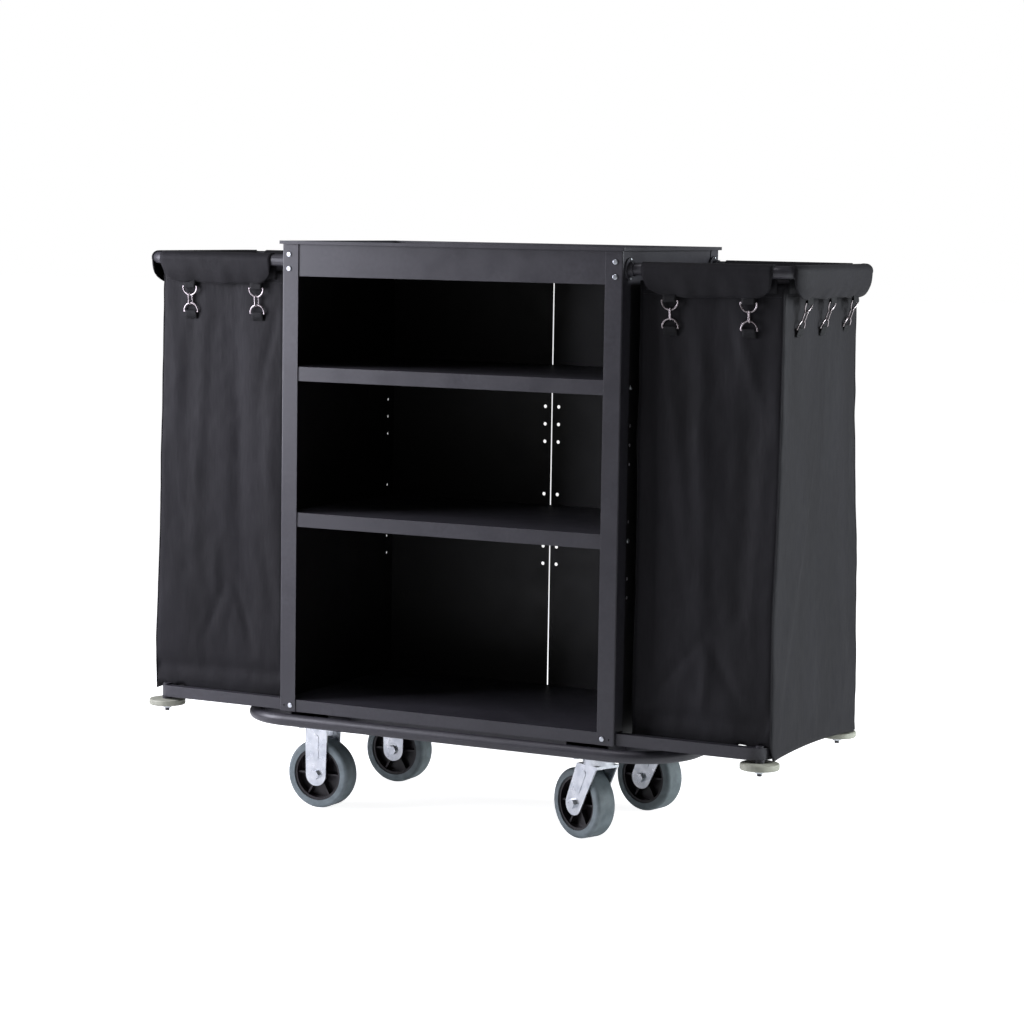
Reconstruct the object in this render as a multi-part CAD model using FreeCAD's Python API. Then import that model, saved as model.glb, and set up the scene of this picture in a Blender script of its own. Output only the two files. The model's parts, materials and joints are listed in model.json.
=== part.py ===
"""Housekeeping cart: a steel cabinet with a top tray, two shelves and a deck, on a base ring with
four casters, and a laundry bag hung from a tube loop over a bumper-wheeled rail at each end.

Millimetres. +X runs along the cart to the swivel end, +Y to the closed back, +Z up. The origin is
on the floor, under the middle of the cart.
"""
import FreeCAD
import Part
import math
import os

Vec = FreeCAD.Vector
X = Vec(1, 0, 0)
Y = Vec(0, 1, 0)
Z = Vec(0, 0, 1)

# ---------------------------------------------------------------- driving dimensions
# cabinet
cab_length = 820.0          # over the posts, along X
cab_depth = 490.0           # over the posts, along Y
post_leg = 40.0             # width of each leg of the angle posts
post_wall = 2.0
post_bend = 3.0             # outside bend radius of the posts
panel_sheet = 1.2           # side and back panels
shelf_sheet = 1.2           # shelves and deck
tray_sheet = 1.5
tray_height = 76.5          # tray floor to rim top
rim_overhang = 6.0          # rim beyond the posts, all round
rim_lip = 7.0               # height of the rim's turned-down edge
rim_corner = 3.0
shelf_lip = 31.0            # height of a shelf's folded edges
deck_lip = 26.5             # height of the deck's folded edges
lower_bay = 384.5           # clear height, deck to lower shelf
middle_bay = 289.0          # clear height, lower shelf to upper shelf
upper_bay = 197.0           # clear height, upper shelf to tray
seam_x = 8.0                # where the two back panels meet
seam_gap = 3.0
sheet_gap = 0.2             # play between a folded pan and what it drops into
cut_reach = 20.0            # how far a hole's cutter runs each way, enough for any sheet
past = 1.0                  # how far a cutter runs past the face it opens

# adjustable shelf holes, in columns counted down from the upper shelf's screws
peg_steps = 8               # pitches between the two shelves' screws
open_pegs = (2, 3, 4, 7, 10, 11)
peg_hole_r = 4.0
peg_front_inset = 53.0      # side columns, from the cabinet's front and back faces
peg_back_inset = 27.0
peg_seam_inset = 17.0       # back columns, from the seam

# screws of the cabinet
screw_r = 2.5
screw_head_r = 5.5
screw_head_h = 2.4
screw_length = 7.0
screw_play = 0.15           # radial play of screws, bolts and pins in fixed holes
head_window = 0.5           # post opening round a shelf screw's head
tray_screw_drops = (29.5, 60.5)     # below the rim top
tray_screw_inset = 17.0     # from the post's outer edge
deck_screw_inset = 28.0
spare_hole_inset = 12.0     # an empty hole beside each deck screw
spare_hole_r = 2.0

# base
channel_height = 34.0
channel_width = 100.0
channel_wall = 3.0
ring_tube_r = 13.5
ring_tube_wall = 2.0
ring_end_reach = 138.0      # base ring beyond the cabinet's ends
ring_side_reach = 11.0      # base ring beyond the cabinet's front and back
ring_corner = 133.5         # centre line radius
ring_vent_r = 2.5
base_rail_size = 25.0
base_rail_wall = 2.0
base_rail_y = 135.0

# casters
wheel_r = 76.2
wheel_width = 50.0
hub_r = 59.0
caster_head = 34.6          # wheel top to mounting face
caster_end_inset = 69.0     # caster centres from the cabinet's ends
caster_side_inset = 73.0    # caster centres from the cabinet's front and back
plate_length = 100.0
plate_width = 85.0
plate_thick = 4.0
plate_bolt_x = 38.0
plate_bolt_y = 30.0
plate_bolt_r = 4.0
plate_corner = 8.0
plate_nut_across = 13.0
plate_nut_h = 5.0
plate_bolt_end = 4.0        # bolt beyond the channel's floor
axle_r = 6.0
axle_nut_across = 19.0
axle_head_h = 8.0
axle_nut_h = 9.0
axle_end = 3.0              # axle beyond its nut
boss_r = 18.0               # wheel centre's boss
hub_inset = 3.0             # wheel centre's rim behind the tyre's sides
hub_wall = 6.0
hub_web = 8.0
hub_ribs = 6
hub_rib_width = 4.0
hub_rib_inset = 5.0
tyre_shoulder = 8.0
fork_play = 2.0             # wheel side to fork leg
fork_sheet = 3.5
fork_end_r = 25.5
fork_top_width = 56.0
rib_r = 6.5                 # pressed rib on each fork leg
rib_height = 1.2
rib_start = 0.22            # the rib's ends, as shares of the way down to the axle
rib_end = 0.66
swivel_trail = 45.0
race_r = 36.0
race_depth = 6.0
race_gap = 0.5              # between the two halves of the ball race
race_step = 2.0             # lower race's radius less than the upper's
crown_step = 6.0            # crown's front edge behind the upper race's
crown_thick = 6.0
crown_clear = 7.6           # wheel to crown
kingpin_head_r = 11.0
kingpin_head_h = 5.0
front_swivel_rest = 24.0    # degrees that each swivel fork stands turned
back_swivel_rest = 14.0
running_play = 0.05         # radial play of what turns on a pin

# tube loops that carry the bags
loop_tube_r = 13.0
loop_tube_wall = 1.5
loop_end_gap = 15.5         # bag's outer face to the tube
loop_inset = 30.0           # tube's centre line behind the cabinet's front and back faces
loop_drop = 43.5            # rim top to centre line
loop_bend = 50.0
flange_edge = 3.5           # flange beyond its screws' centres
flange_thick = 4.0
flange_collar = 14.0
flange_collar_wall = 2.5
flange_screw_head_r = 3.2
flange_screw_gap = 0.8      # screw head to collar
collar_play = 0.1           # tube to collar

# rails under the bags
rail_height = 25.0
rail_width = 20.0
rail_wall = 1.5
rail_reach = 336.0          # cabinet end to the rail's outer face
rail_inset = 8.0            # rail's outer face behind the cabinet's front and back faces
rail_corner = 40.0
rail_tab = 14.0             # bolted tab beside each rail end
rail_tab_thick = 3.0
rail_below_deck = 0.5

# bumper wheels under the rails' corners
roller_r = 41.0
roller_thick = 13.0
roller_edge = 3.0
roller_spacer = 7.0
roller_bolt_r = 5.0
roller_gap = 0.3            # end play of the wheel
roller_head_r = 9.0
roller_head_h = 3.5
roller_nut_across = 16.0
roller_nut_h = 8.0
roller_bolt_end = 6.0       # bolt beyond its nut
spacer_r = 11.0

# bags
bag_cloth = 2.5
bag_gap = 18.0              # cabinet end to bag
bag_rail_clear = 6.0        # bag's outer face beyond the rail's
bag_tube_gap = 2.0          # bag's side to the tube
bag_rail_gap = 2.0          # bag floor over the rail
bag_skirt = 31.0            # how far the end panel hangs below the bag floor
bag_top_drop = 10.0         # bag mouth below the tube
flap_clear = 0.5            # cloth to tube
flap_fall = 54.0            # tube centre to the flap's lower edge
flap_pull = 20.0            # how far the hooks draw the flap's lower edge in towards the bag
flap_knee = 5.0             # below the tube, where the inner cloth turns in to the wall
flap_foot = 15.0            # below the knee, where it meets the wall
flap_corner = 44.0
side_flap_start = 33.0      # from the cabinet's end
flap_past_bend = 2.5        # how far each flap runs on past the start of the tube's bend
side_hook_spacing = 175.0
end_hook_spacing = 130.0

# D-rings and double hooks that tie each flap to the bag
wire_r = 1.75
ring_half_width = 18.0
ring_drop = 19.0
hook_wire_r = 1.5
hook_half_width = 4.6
hook_turn = 55.0            # degrees between a hook's plane and its rings
hook_gap = 0.1              # hook to ring
ring_tab_drop = 9.0         # flap's lower edge to the upper ring's bar
ring_wall_gap = 2.6         # lower ring to the bag's face
chain_length = 56.0         # between the two rings' bars

# ---------------------------------------------------------------- worked-out places
half_l = cab_length / 2
half_d = cab_depth / 2
mount_z = 2 * wheel_r + caster_head
deck_bottom = mount_z + channel_height
deck_top = deck_bottom + deck_lip
lower_shelf_top = deck_top + lower_bay + shelf_lip
upper_shelf_top = lower_shelf_top + middle_bay + shelf_lip
tray_bottom = upper_shelf_top + upper_bay
rim_top = tray_bottom + tray_height
inner_l = half_l - post_wall            # outer faces of the panels and the tray wall
inner_d = half_d - post_wall
peg_pitch = (upper_shelf_top - lower_shelf_top) / peg_steps
peg_top = upper_shelf_top - shelf_lip / 2
ring_z = mount_z + ring_tube_r
ring_half_x = half_l + ring_end_reach - ring_tube_r
ring_half_y = half_d + ring_side_reach - ring_tube_r
caster_x = half_l - caster_end_inset
caster_y = half_d - caster_side_inset
fork_inner = wheel_width / 2 + fork_play
fork_outer = fork_inner + fork_sheet
crown_z = 2 * wheel_r + crown_clear
race_top = mount_z - plate_thick - race_depth - race_gap
loop_z = rim_top - loop_drop
loop_half_y = half_d - loop_inset
flange_screw_radius = loop_tube_r + flange_collar_wall + flange_screw_head_r + flange_screw_gap
flange_r = flange_screw_radius + flange_edge
rail_top = deck_top - rail_below_deck
rail_bottom = rail_top - rail_height
rail_x = half_l + rail_reach
rail_half_y = half_d - rail_inset
roller_x = rail_x - rail_corner + (rail_corner - rail_width / 2) * math.sqrt(0.5)
roller_y = rail_half_y - rail_corner + (rail_corner - rail_width / 2) * math.sqrt(0.5)
roller_top = rail_bottom - roller_spacer
bag_x = rail_x + bag_rail_clear
bag_half_y = loop_half_y - loop_tube_r - bag_tube_gap
loop_x = bag_x + loop_end_gap + loop_tube_r
bag_floor = rail_top + bag_rail_gap
bag_top = loop_z - loop_tube_r - bag_top_drop
flap_inner_r = loop_tube_r + flap_clear
flap_outer_r = flap_inner_r + bag_cloth
side_flap_end = loop_x - loop_bend + flap_past_bend
side_flap_length = side_flap_end - half_l - side_flap_start
side_flap_x = side_flap_end - side_flap_length / 2
end_flap_length = 2 * (loop_half_y - loop_bend + flap_past_bend)


# ---------------------------------------------------------------- shape helpers
def box(x0, x1, y0, y1, z0, z1):
    """A box between two corners."""
    return Part.makeBox(x1 - x0, y1 - y0, z1 - z0, Vec(x0, y0, z0))


def rod(start, axis, radius, length):
    """A round bar from a start point along an axis."""
    return Part.makeCylinder(radius, length, start, axis)


def through(point, axis, radius):
    """A cutter for a hole through the sheet at a point."""
    return rod(point - axis * cut_reach, axis, radius, 2 * cut_reach)


def join(*shapes):
    """One solid out of shapes that touch or overlap."""
    return shapes[0].fuse(list(shapes[1:])).removeSplitter()


def mirror_x(shape):
    """The same shape at the other end of the cart."""
    return shape.mirror(Vec(0, 0, 0), X)


def mirror_y(shape):
    """The same shape at the other side of the cart."""
    return shape.mirror(Vec(0, 0, 0), Y)


def four(shape):
    """A shape at all four corners of the cart."""
    return [shape, mirror_x(shape), mirror_y(shape), mirror_x(mirror_y(shape))]


def group(solids):
    """Separate solids that share one node."""
    return Part.makeCompound(solids)


def placed(shape, place):
    """A copy of a shape, moved as a whole."""
    copy = shape.copy()
    copy.Placement = place.multiply(copy.Placement)
    return copy


def prism(points, direction):
    """A closed outline pushed along a direction."""
    return Part.Face(Part.makePolygon(points + points[:1])).extrude(direction)


def hexagon(centre, axis, across, height):
    """A hexagonal nut or bolt head that stands on centre, along axis."""
    corner_r = across / math.sqrt(3)
    side = axis.cross(Z if abs(axis.z) < 0.5 else X).normalize()
    up = axis.cross(side)
    points = []
    for i in range(6):
        turn = math.radians(60 * i)
        points.append(centre + side * (corner_r * math.cos(turn)) + up * (corner_r * math.sin(turn)))
    return prism(points, axis * height)


def button_screw(point, outward, head_r=screw_head_r, length=screw_length):
    """A domed screw whose head stands on point and faces outward."""
    shank = rod(point - outward * length, outward, screw_r, length)
    head = rod(point, outward, head_r, screw_head_h)
    rim = [e for e in head.Edges if (e.CenterOfMass - point).dot(outward) > screw_head_h * 0.9]
    return join(head.makeFillet(screw_head_h * 0.6, rim), shank)


def end_block(x0, x1, half_y, corner, z0, z1):
    """A block whose two outer vertical edges are rounded."""
    block = box(x0, x1, -half_y, half_y, z0, z1)
    edges = [e for e in block.Edges
             if abs(e.tangentAt(e.FirstParameter).z) > 0.9 and e.CenterOfMass.x > x1 - 0.01]
    return block.makeFillet(corner, edges)


def tube_along(wire, start, direction, radius, wall):
    """A round tube along a wire."""
    skins = []
    for r in (radius, radius - wall):
        loop = Part.Wire(Part.makeCircle(r, start, direction))
        skins.append(wire.makePipeShell([loop], True, False))
    return skins[0].cut(skins[1])


def pan(half_x, y0, y1, z0, z1, sheet, opens_down):
    """A folded sheet pan, open below as a shelf is or above as a tray is."""
    outside = box(-half_x, half_x, y0, y1, z0, z1)
    floor = (z0 - past, z1 - sheet) if opens_down else (z0 + sheet, z1 + past)
    return outside.cut(box(-half_x + sheet, half_x - sheet, y0 + sheet, y1 - sheet, *floor))


def peg_z(step):
    """Height of a shelf hole, counted down from the upper shelf's screws."""
    return peg_top - step * peg_pitch


# ---------------------------------------------------------------- cabinet
peg_columns_y = (-half_d + peg_front_inset, half_d - peg_back_inset)
shelf_steps = (0, peg_steps)


def side_holes(steps, radius):
    """Cutters through the right-hand side at both hole columns."""
    return [through(Vec(half_l, y, peg_z(s)), X, radius) for s in steps for y in peg_columns_y]


def seam_holes(steps, radius):
    """Cutters through the back at the columns beside the seam."""
    places = (seam_x - peg_seam_inset, seam_x + peg_seam_inset)
    return [through(Vec(x, half_d, peg_z(s)), Y, radius) for s in steps for x in places]


# every fixing at the corner at +X +Y
tray_screw_points = [Vec(half_l - tray_screw_inset, half_d, rim_top - drop) for drop in tray_screw_drops]
deck_screw_point = Vec(half_l - deck_screw_inset, half_d, deck_bottom + deck_lip / 2)
flange_screw_points = [Vec(half_l, loop_half_y, loop_z + side * flange_screw_radius) for side in (-1, 1)]
rail_bolt_point = Vec(half_l, rail_half_y - rail_width - rail_tab / 2, rail_bottom + rail_height / 2)


def corner_fixings():
    """Cutters for every screw that passes the corner at +X +Y."""
    hole_r = screw_r + screw_play
    cutters = [through(p, Y, hole_r) for p in tray_screw_points + [deck_screw_point]]
    cutters += [through(p, X, hole_r) for p in flange_screw_points + [rail_bolt_point]]
    return cutters


def make_posts():
    """The four angle posts, from under the deck to under the tray's rim."""
    post_top = rim_top - tray_sheet
    outer = box(half_l - post_leg, half_l, half_d - post_leg, half_d, deck_bottom, post_top)
    edge = [e for e in outer.Edges if e.CenterOfMass.x > half_l - 0.1 and e.CenterOfMass.y > half_d - 0.1]
    outer = outer.makeFillet(post_bend, edge)
    inner = box(half_l - post_leg - past, inner_l, half_d - post_leg - past, inner_d,
                deck_bottom - past, post_top + past)
    blank = outer.cut(inner).cut(corner_fixings())
    blank = blank.cut(through(Vec(half_l - spare_hole_inset, half_d, deck_screw_point.z), Y, spare_hole_r))
    back = blank.cut(side_holes(open_pegs, peg_hole_r) + side_holes(shelf_steps, screw_head_r + head_window))
    return {"post_back_right": back, "post_back_left": mirror_x(back),
            "post_front_right": mirror_y(blank), "post_front_left": mirror_x(mirror_y(blank))}


def make_panels():
    """Side panels and the two back panels, with their columns of shelf holes."""
    hole_r = screw_r + screw_play
    rail_hole = through(rail_bolt_point, X, hole_r)
    side = box(inner_l - panel_sheet, inner_l, -inner_d, inner_d, deck_bottom, tray_bottom)
    side = side.cut(side_holes(open_pegs, peg_hole_r) + side_holes(shelf_steps, hole_r))
    side = side.cut([rail_hole, mirror_y(rail_hole)])
    span = inner_l - panel_sheet
    backs = []
    for x0, x1 in ((-span, seam_x - seam_gap / 2), (seam_x + seam_gap / 2, span)):
        back = box(x0, x1, inner_d - panel_sheet, inner_d, deck_bottom, tray_bottom)
        back = back.cut(seam_holes(open_pegs, peg_hole_r) + seam_holes(shelf_steps, hole_r))
        screw = through(deck_screw_point, Y, hole_r)
        backs.append(back.cut([screw, mirror_x(screw)]))
    return {"side_panel_right": side, "side_panel_left": mirror_x(side),
            "back_panel_left": backs[0], "back_panel_right": backs[1]}


def make_tray():
    """The top tray: a deep pan whose rim turns out over the posts and down."""
    body = pan(inner_l, -inner_d, inner_d, tray_bottom, rim_top, tray_sheet, False)
    rim_x = half_l + rim_overhang
    rim_y = half_d + rim_overhang
    rim = box(-rim_x, rim_x, -rim_y, rim_y, rim_top - rim_lip, rim_top)
    rim = rim.makeFillet(rim_corner, [e for e in rim.Edges if abs(e.tangentAt(e.FirstParameter).z) > 0.9])
    under = box(-rim_x + tray_sheet, rim_x - tray_sheet, -rim_y + tray_sheet, rim_y - tray_sheet,
                rim_top - rim_lip - past, rim_top - tray_sheet)
    mouth = box(-inner_l + tray_sheet, inner_l - tray_sheet, -inner_d + tray_sheet, inner_d - tray_sheet,
                rim_top - rim_lip - past, rim_top + past)
    tray = join(body, rim.cut([under, mouth]))
    cutters = []
    for cutter in corner_fixings():
        cutters += four(cutter)
    return {"tray_top": tray.cut(cutters)}


def make_shelves():
    """Two shelves and the deck, each a pan with its folded edges turned down."""
    side = inner_l - panel_sheet - sheet_gap
    back = inner_d - panel_sheet - sheet_gap
    hole_r = screw_r + screw_play
    shelves = {}
    for name, top in (("shelf_upper", upper_shelf_top), ("shelf_lower", lower_shelf_top)):
        shelf = pan(side, -inner_d, back, top - shelf_lip, top, shelf_sheet, True)
        holes = side_holes(shelf_steps, hole_r)
        shelves[name] = shelf.cut(holes + [mirror_x(h) for h in holes] + seam_holes(shelf_steps, hole_r))
    deck = pan(side, -inner_d, back, deck_bottom, deck_top, shelf_sheet, True)
    cutters = []
    for point, axis in ((deck_screw_point, Y), (rail_bolt_point, X)):
        cutters += four(through(point, axis, hole_r))
    shelves["deck"] = deck.cut(cutters)
    return shelves


def make_cabinet_screws():
    """Post screws, shelf screws, and the screws of the loops' flanges."""
    posts = []
    for point in tray_screw_points + [deck_screw_point]:
        posts += four(button_screw(point, Y))
    shelves = []
    for step in shelf_steps:
        for y in peg_columns_y:
            screw = button_screw(Vec(inner_l, y, peg_z(step)), X)
            shelves += [screw, mirror_x(screw)]
        for x in (seam_x - peg_seam_inset, seam_x + peg_seam_inset):
            shelves.append(button_screw(Vec(x, inner_d, peg_z(step)), Y))
    flanges = []
    for point in flange_screw_points:
        head_seat = point + X * flange_thick
        flanges += four(button_screw(head_seat, X, flange_screw_head_r, screw_length + flange_thick))
    return {"post_screws": group(posts), "shelf_screws": group(shelves), "flange_screws": group(flanges)}


# ---------------------------------------------------------------- base
def ring_wire():
    """Centre line of the base ring: a rectangle with large round corners."""
    a = ring_half_x - ring_corner
    b = ring_half_y - ring_corner
    edges = []
    for sx, sy, start in ((1, -1, -90), (1, 1, 0), (-1, 1, 90), (-1, -1, 180)):
        centre = Vec(sx * a, sy * b, ring_z)
        edges.append(Part.makeCircle(ring_corner, centre, Z, start, start + 90))
    wire = []
    for i, arc in enumerate(edges):
        end = arc.Vertexes[-1].Point
        begin = edges[(i + 1) % 4].Vertexes[0].Point
        wire += [arc, Part.LineSegment(end, begin).toShape()]
    return Part.Wire(wire)


def make_base():
    """The base ring, the two caster channels and the short rails that tie them together."""
    start = Vec(ring_half_x - ring_corner, -ring_half_y, ring_z)
    ring = tube_along(ring_wire(), start, X, ring_tube_r, ring_tube_wall)
    vents = [rod(Vec(0, side * ring_half_y, ring_z), Z * -1, ring_vent_r, ring_tube_r + past)
             for side in (-1, 1)]
    ring = ring.cut(vents)
    inner_y = ring_half_y - ring_tube_r
    x0 = caster_x - channel_width / 2
    x1 = caster_x + channel_width / 2
    channel = box(x0, x1, -inner_y, inner_y, mount_z, deck_bottom)
    channel = channel.cut(box(x0 + channel_wall, x1 - channel_wall, -inner_y - past, inner_y + past,
                              mount_z + channel_wall, deck_bottom - channel_wall))
    bolt = through(Vec(0, 0, mount_z), Z, plate_bolt_r + screw_play)
    for p in plate_bolt_places():
        for side in (-1, 1):
            channel = channel.cut(bolt.translated(Vec(caster_x, side * caster_y, 0) + p))
    rail_z = ring_z - base_rail_size / 2

    def rail(start_x, end_x):
        """A square tube along X beside the base's middle."""
        y0 = base_rail_y - base_rail_size / 2
        tube = box(start_x, end_x, y0, y0 + base_rail_size, rail_z, rail_z + base_rail_size)
        w = base_rail_wall
        return tube.cut(box(start_x - past, end_x + past, y0 + w, y0 + base_rail_size - w,
                            rail_z + w, rail_z + base_rail_size - w))

    middle = rail(-x0, x0)
    beside_corner = max(0, base_rail_y + base_rail_size / 2 - (ring_half_y - ring_corner))
    reach_past = math.sqrt((ring_corner - ring_tube_r) ** 2 - beside_corner ** 2)
    outer = rail(x1, ring_half_x - ring_corner + reach_past)
    return {"base_ring": ring, "base_channel_right": channel, "base_channel_left": mirror_x(channel),
            "base_rails_middle": group([middle, mirror_y(middle)]), "base_rails_outer": group(four(outer))}


# ---------------------------------------------------------------- casters
def plate_bolt_places():
    """The four bolt places on a caster plate, from its centre."""
    return [Vec(sx * plate_bolt_x, sy * plate_bolt_y, 0) for sx in (-1, 1) for sy in (-1, 1)]


def caster_plate():
    """A mounting plate centred on the caster, with its four bolt holes."""
    plate = box(-plate_length / 2, plate_length / 2, -plate_width / 2, plate_width / 2,
                mount_z - plate_thick, mount_z)
    corners = [e for e in plate.Edges if abs(e.tangentAt(e.FirstParameter).z) > 0.9]
    plate = plate.makeFillet(plate_corner, corners)
    hole = through(Vec(0, 0, mount_z), Z, plate_bolt_r + screw_play)
    return plate.cut([hole.translated(p) for p in plate_bolt_places()])


def tangent_point(point, centre, radius, side):
    """Where a line from point touches a circle in the XZ plane."""
    dx = point.x - centre.x
    dz = point.z - centre.z
    reach = math.hypot(dx, dz)
    turn = math.atan2(dz, dx) + side * math.acos(radius / reach)
    return Vec(centre.x + radius * math.cos(turn), point.y, centre.z + radius * math.sin(turn))


def fork_leg(x0, x1, top_z, trail):
    """One fork leg on the -Y side: a plate that narrows to the axle, with a pressed rib."""
    y = -fork_outer
    axle = Vec(-trail, y, wheel_r)
    left = Vec(x0, y, top_z)
    right = Vec(x1, y, top_z)
    outline = [left, tangent_point(left, axle, fork_end_r, 1),
               tangent_point(right, axle, fork_end_r, -1), right]
    leg = join(prism(outline, Y * fork_sheet), rod(axle, Y, fork_end_r, fork_sheet))
    middle = Vec((x0 + x1) / 2, y, top_z)
    upper = middle + (axle - middle) * rib_start
    lower = middle + (axle - middle) * rib_end
    across = (lower - upper).cross(Y).normalize() * rib_r
    rib = join(prism([upper + across, lower + across, lower - across, upper - across], Y * -rib_height),
               rod(upper, Y * -1, rib_r, rib_height), rod(lower, Y * -1, rib_r, rib_height))
    return join(leg, rib).cut(through(axle, Y, axle_r + screw_play))


def rigid_fork():
    """Plate and legs of a fixed caster, welded as one."""
    leg = fork_leg(-fork_top_width / 2, fork_top_width / 2, mount_z - plate_thick, 0)
    return join(caster_plate(), leg, mirror_y(leg))


def swivel_plate():
    """Plate of a swivel caster with the upper half of its ball race and the kingpin hole."""
    race_z = mount_z - plate_thick - race_depth
    race = rod(Vec(0, 0, race_z), Z, race_r, race_depth)
    return join(caster_plate(), race).cut(through(Vec(0, 0, race_z), Z, axle_r + screw_play))


def swivel_fork():
    """Crown, lower race and trailing legs of a swivel caster, about its kingpin at the origin."""
    x0 = -race_r
    x1 = race_r - crown_step
    crown = box(x0, x1, -fork_outer, fork_outer, crown_z, crown_z + crown_thick)
    race = rod(Vec(0, 0, crown_z + crown_thick), Z, race_r - race_step, race_top - crown_z - crown_thick)
    leg = fork_leg(x0, x1, crown_z + crown_thick, swivel_trail)
    return join(crown, race, leg, mirror_y(leg)).cut(through(Vec(0, 0, crown_z), Z, axle_r + running_play))


def kingpin():
    """The kingpin, riveted in the plate, with its head under the crown."""
    head = rod(Vec(0, 0, crown_z - race_gap - kingpin_head_h), Z, kingpin_head_r, kingpin_head_h)
    return join(rod(Vec(0, 0, crown_z - race_gap), Z, axle_r, mount_z - crown_z + race_gap), head)


def wheel_hub():
    """Moulded wheel centre about the origin, axis along Y, with a web and ribs on both faces."""
    half_rim = wheel_width / 2 - hub_inset
    half_rib = half_rim - hub_rib_inset
    into_rim = hub_r - hub_wall / 2

    def disc(radius, half_width):
        """A disc about the axle, as wide on both sides."""
        return rod(Vec(0, -half_width, 0), Y, radius, 2 * half_width)

    hub = [disc(boss_r, wheel_width / 2), disc(hub_r, half_rim).cut(disc(hub_r - hub_wall, half_rim)),
           disc(into_rim, hub_web / 2)]
    for i in range(hub_ribs):
        rib = box(boss_r / 2, into_rim, -half_rib, half_rib, -hub_rib_width / 2, hub_rib_width / 2)
        rib.rotate(Vec(0, 0, 0), Y, 360 / hub_ribs * i)
        hub.append(rib)
    return join(*hub).cut(disc(axle_r + running_play, wheel_width))


def wheel_tyre():
    """Tread ring about the origin, axis along Y, with round shoulders."""
    ring = rod(Vec(0, -wheel_width / 2, 0), Y, wheel_r, wheel_width)
    ring = ring.makeFillet(tyre_shoulder, [e for e in ring.Edges if e.Closed])
    return ring.cut(rod(Vec(0, -wheel_width, 0), Y, hub_r, 2 * wheel_width))


def axle():
    """Axle bolt with its head on one fork leg, and its nut on the other."""
    near = Vec(0, -fork_outer, 0)
    far = Vec(0, fork_outer, 0)
    bolt = join(rod(near, Y, axle_r, 2 * fork_outer + axle_nut_h + axle_end),
                hexagon(near, Y * -1, axle_nut_across, axle_head_h))
    nut = hexagon(far, Y, axle_nut_across, axle_nut_h).cut(rod(far, Y, axle_r + running_play, axle_nut_h))
    return group([bolt, nut])


def make_casters():
    """Fixed casters on the left, swivel casters on the right, turned as they stand."""
    nodes = {}
    plates = {}
    bolts = []
    kingpins = []
    for side, y, rest in (("front", -caster_y, front_swivel_rest), ("back", caster_y, back_swivel_rest)):
        for end, x, trail, turn in (("left", -caster_x, 0, 0), ("right", caster_x, swivel_trail, -rest)):
            place = FreeCAD.Placement(Vec(x, y, 0), FreeCAD.Rotation(Z, turn))
            wheel_place = place.multiply(FreeCAD.Placement(Vec(-trail, 0, wheel_r), FreeCAD.Rotation()))
            name = side + "_" + end
            for kind, shape in (("tyre", wheel_tyre()), ("hub", wheel_hub()), ("axle", axle())):
                nodes[kind + "_" + name] = placed(shape, wheel_place)
            fork = swivel_fork() if trail else rigid_fork()
            nodes["fork_" + name] = placed(fork, place)
            for p in plate_bolt_places():
                seat = Vec(x, y, mount_z - plate_thick) + p
                shank = rod(seat, Z, plate_bolt_r, plate_thick + channel_wall + plate_bolt_end)
                bolts.append(join(hexagon(seat, Z * -1, plate_nut_across, plate_nut_h), shank))
        plates["swivel_plate_" + side] = swivel_plate().translated(Vec(caster_x, y, 0))
        kingpins.append(kingpin().translated(Vec(caster_x, y, 0)))
    nodes.update(plates)
    nodes["kingpins"] = group(kingpins)
    nodes["caster_bolts"] = group(bolts)
    return nodes


# ---------------------------------------------------------------- bag loops and rails
def loop_wire():
    """Centre line of a bag loop: out from the cabinet, across and back."""
    x0 = half_l + flange_thick
    a = loop_x - loop_bend
    b = loop_half_y - loop_bend
    near = Part.makeCircle(loop_bend, Vec(a, -b, loop_z), Z, -90, 0)
    far = Part.makeCircle(loop_bend, Vec(a, b, loop_z), Z, 0, 90)
    out = Part.LineSegment(Vec(x0, -loop_half_y, loop_z), Vec(a, -loop_half_y, loop_z)).toShape()
    across = Part.LineSegment(Vec(loop_x, -b, loop_z), Vec(loop_x, b, loop_z)).toShape()
    back = Part.LineSegment(Vec(a, loop_half_y, loop_z), Vec(x0, loop_half_y, loop_z)).toShape()
    return Part.Wire([out, near, across, far, back])


def make_loops():
    """The two tube loops and the four flanges that hold them to the posts."""
    start = Vec(half_l + flange_thick, -loop_half_y, loop_z)
    loop = tube_along(loop_wire(), start, X, loop_tube_r, loop_tube_wall)
    seat = Vec(half_l, loop_half_y, loop_z)
    disc = rod(seat, X, flange_r, flange_thick)
    collar = rod(seat, X, loop_tube_r + flange_collar_wall, flange_collar)
    bore = rod(seat + X * flange_thick, X, loop_tube_r + collar_play, flange_collar)
    screws = [rod(p, X, screw_r + screw_play, flange_thick) for p in flange_screw_points]
    flange = join(disc, collar).cut([bore] + screws)
    return {"bag_loop_right": loop, "bag_loop_left": mirror_x(loop), "loop_flanges": group(four(flange))}


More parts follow.
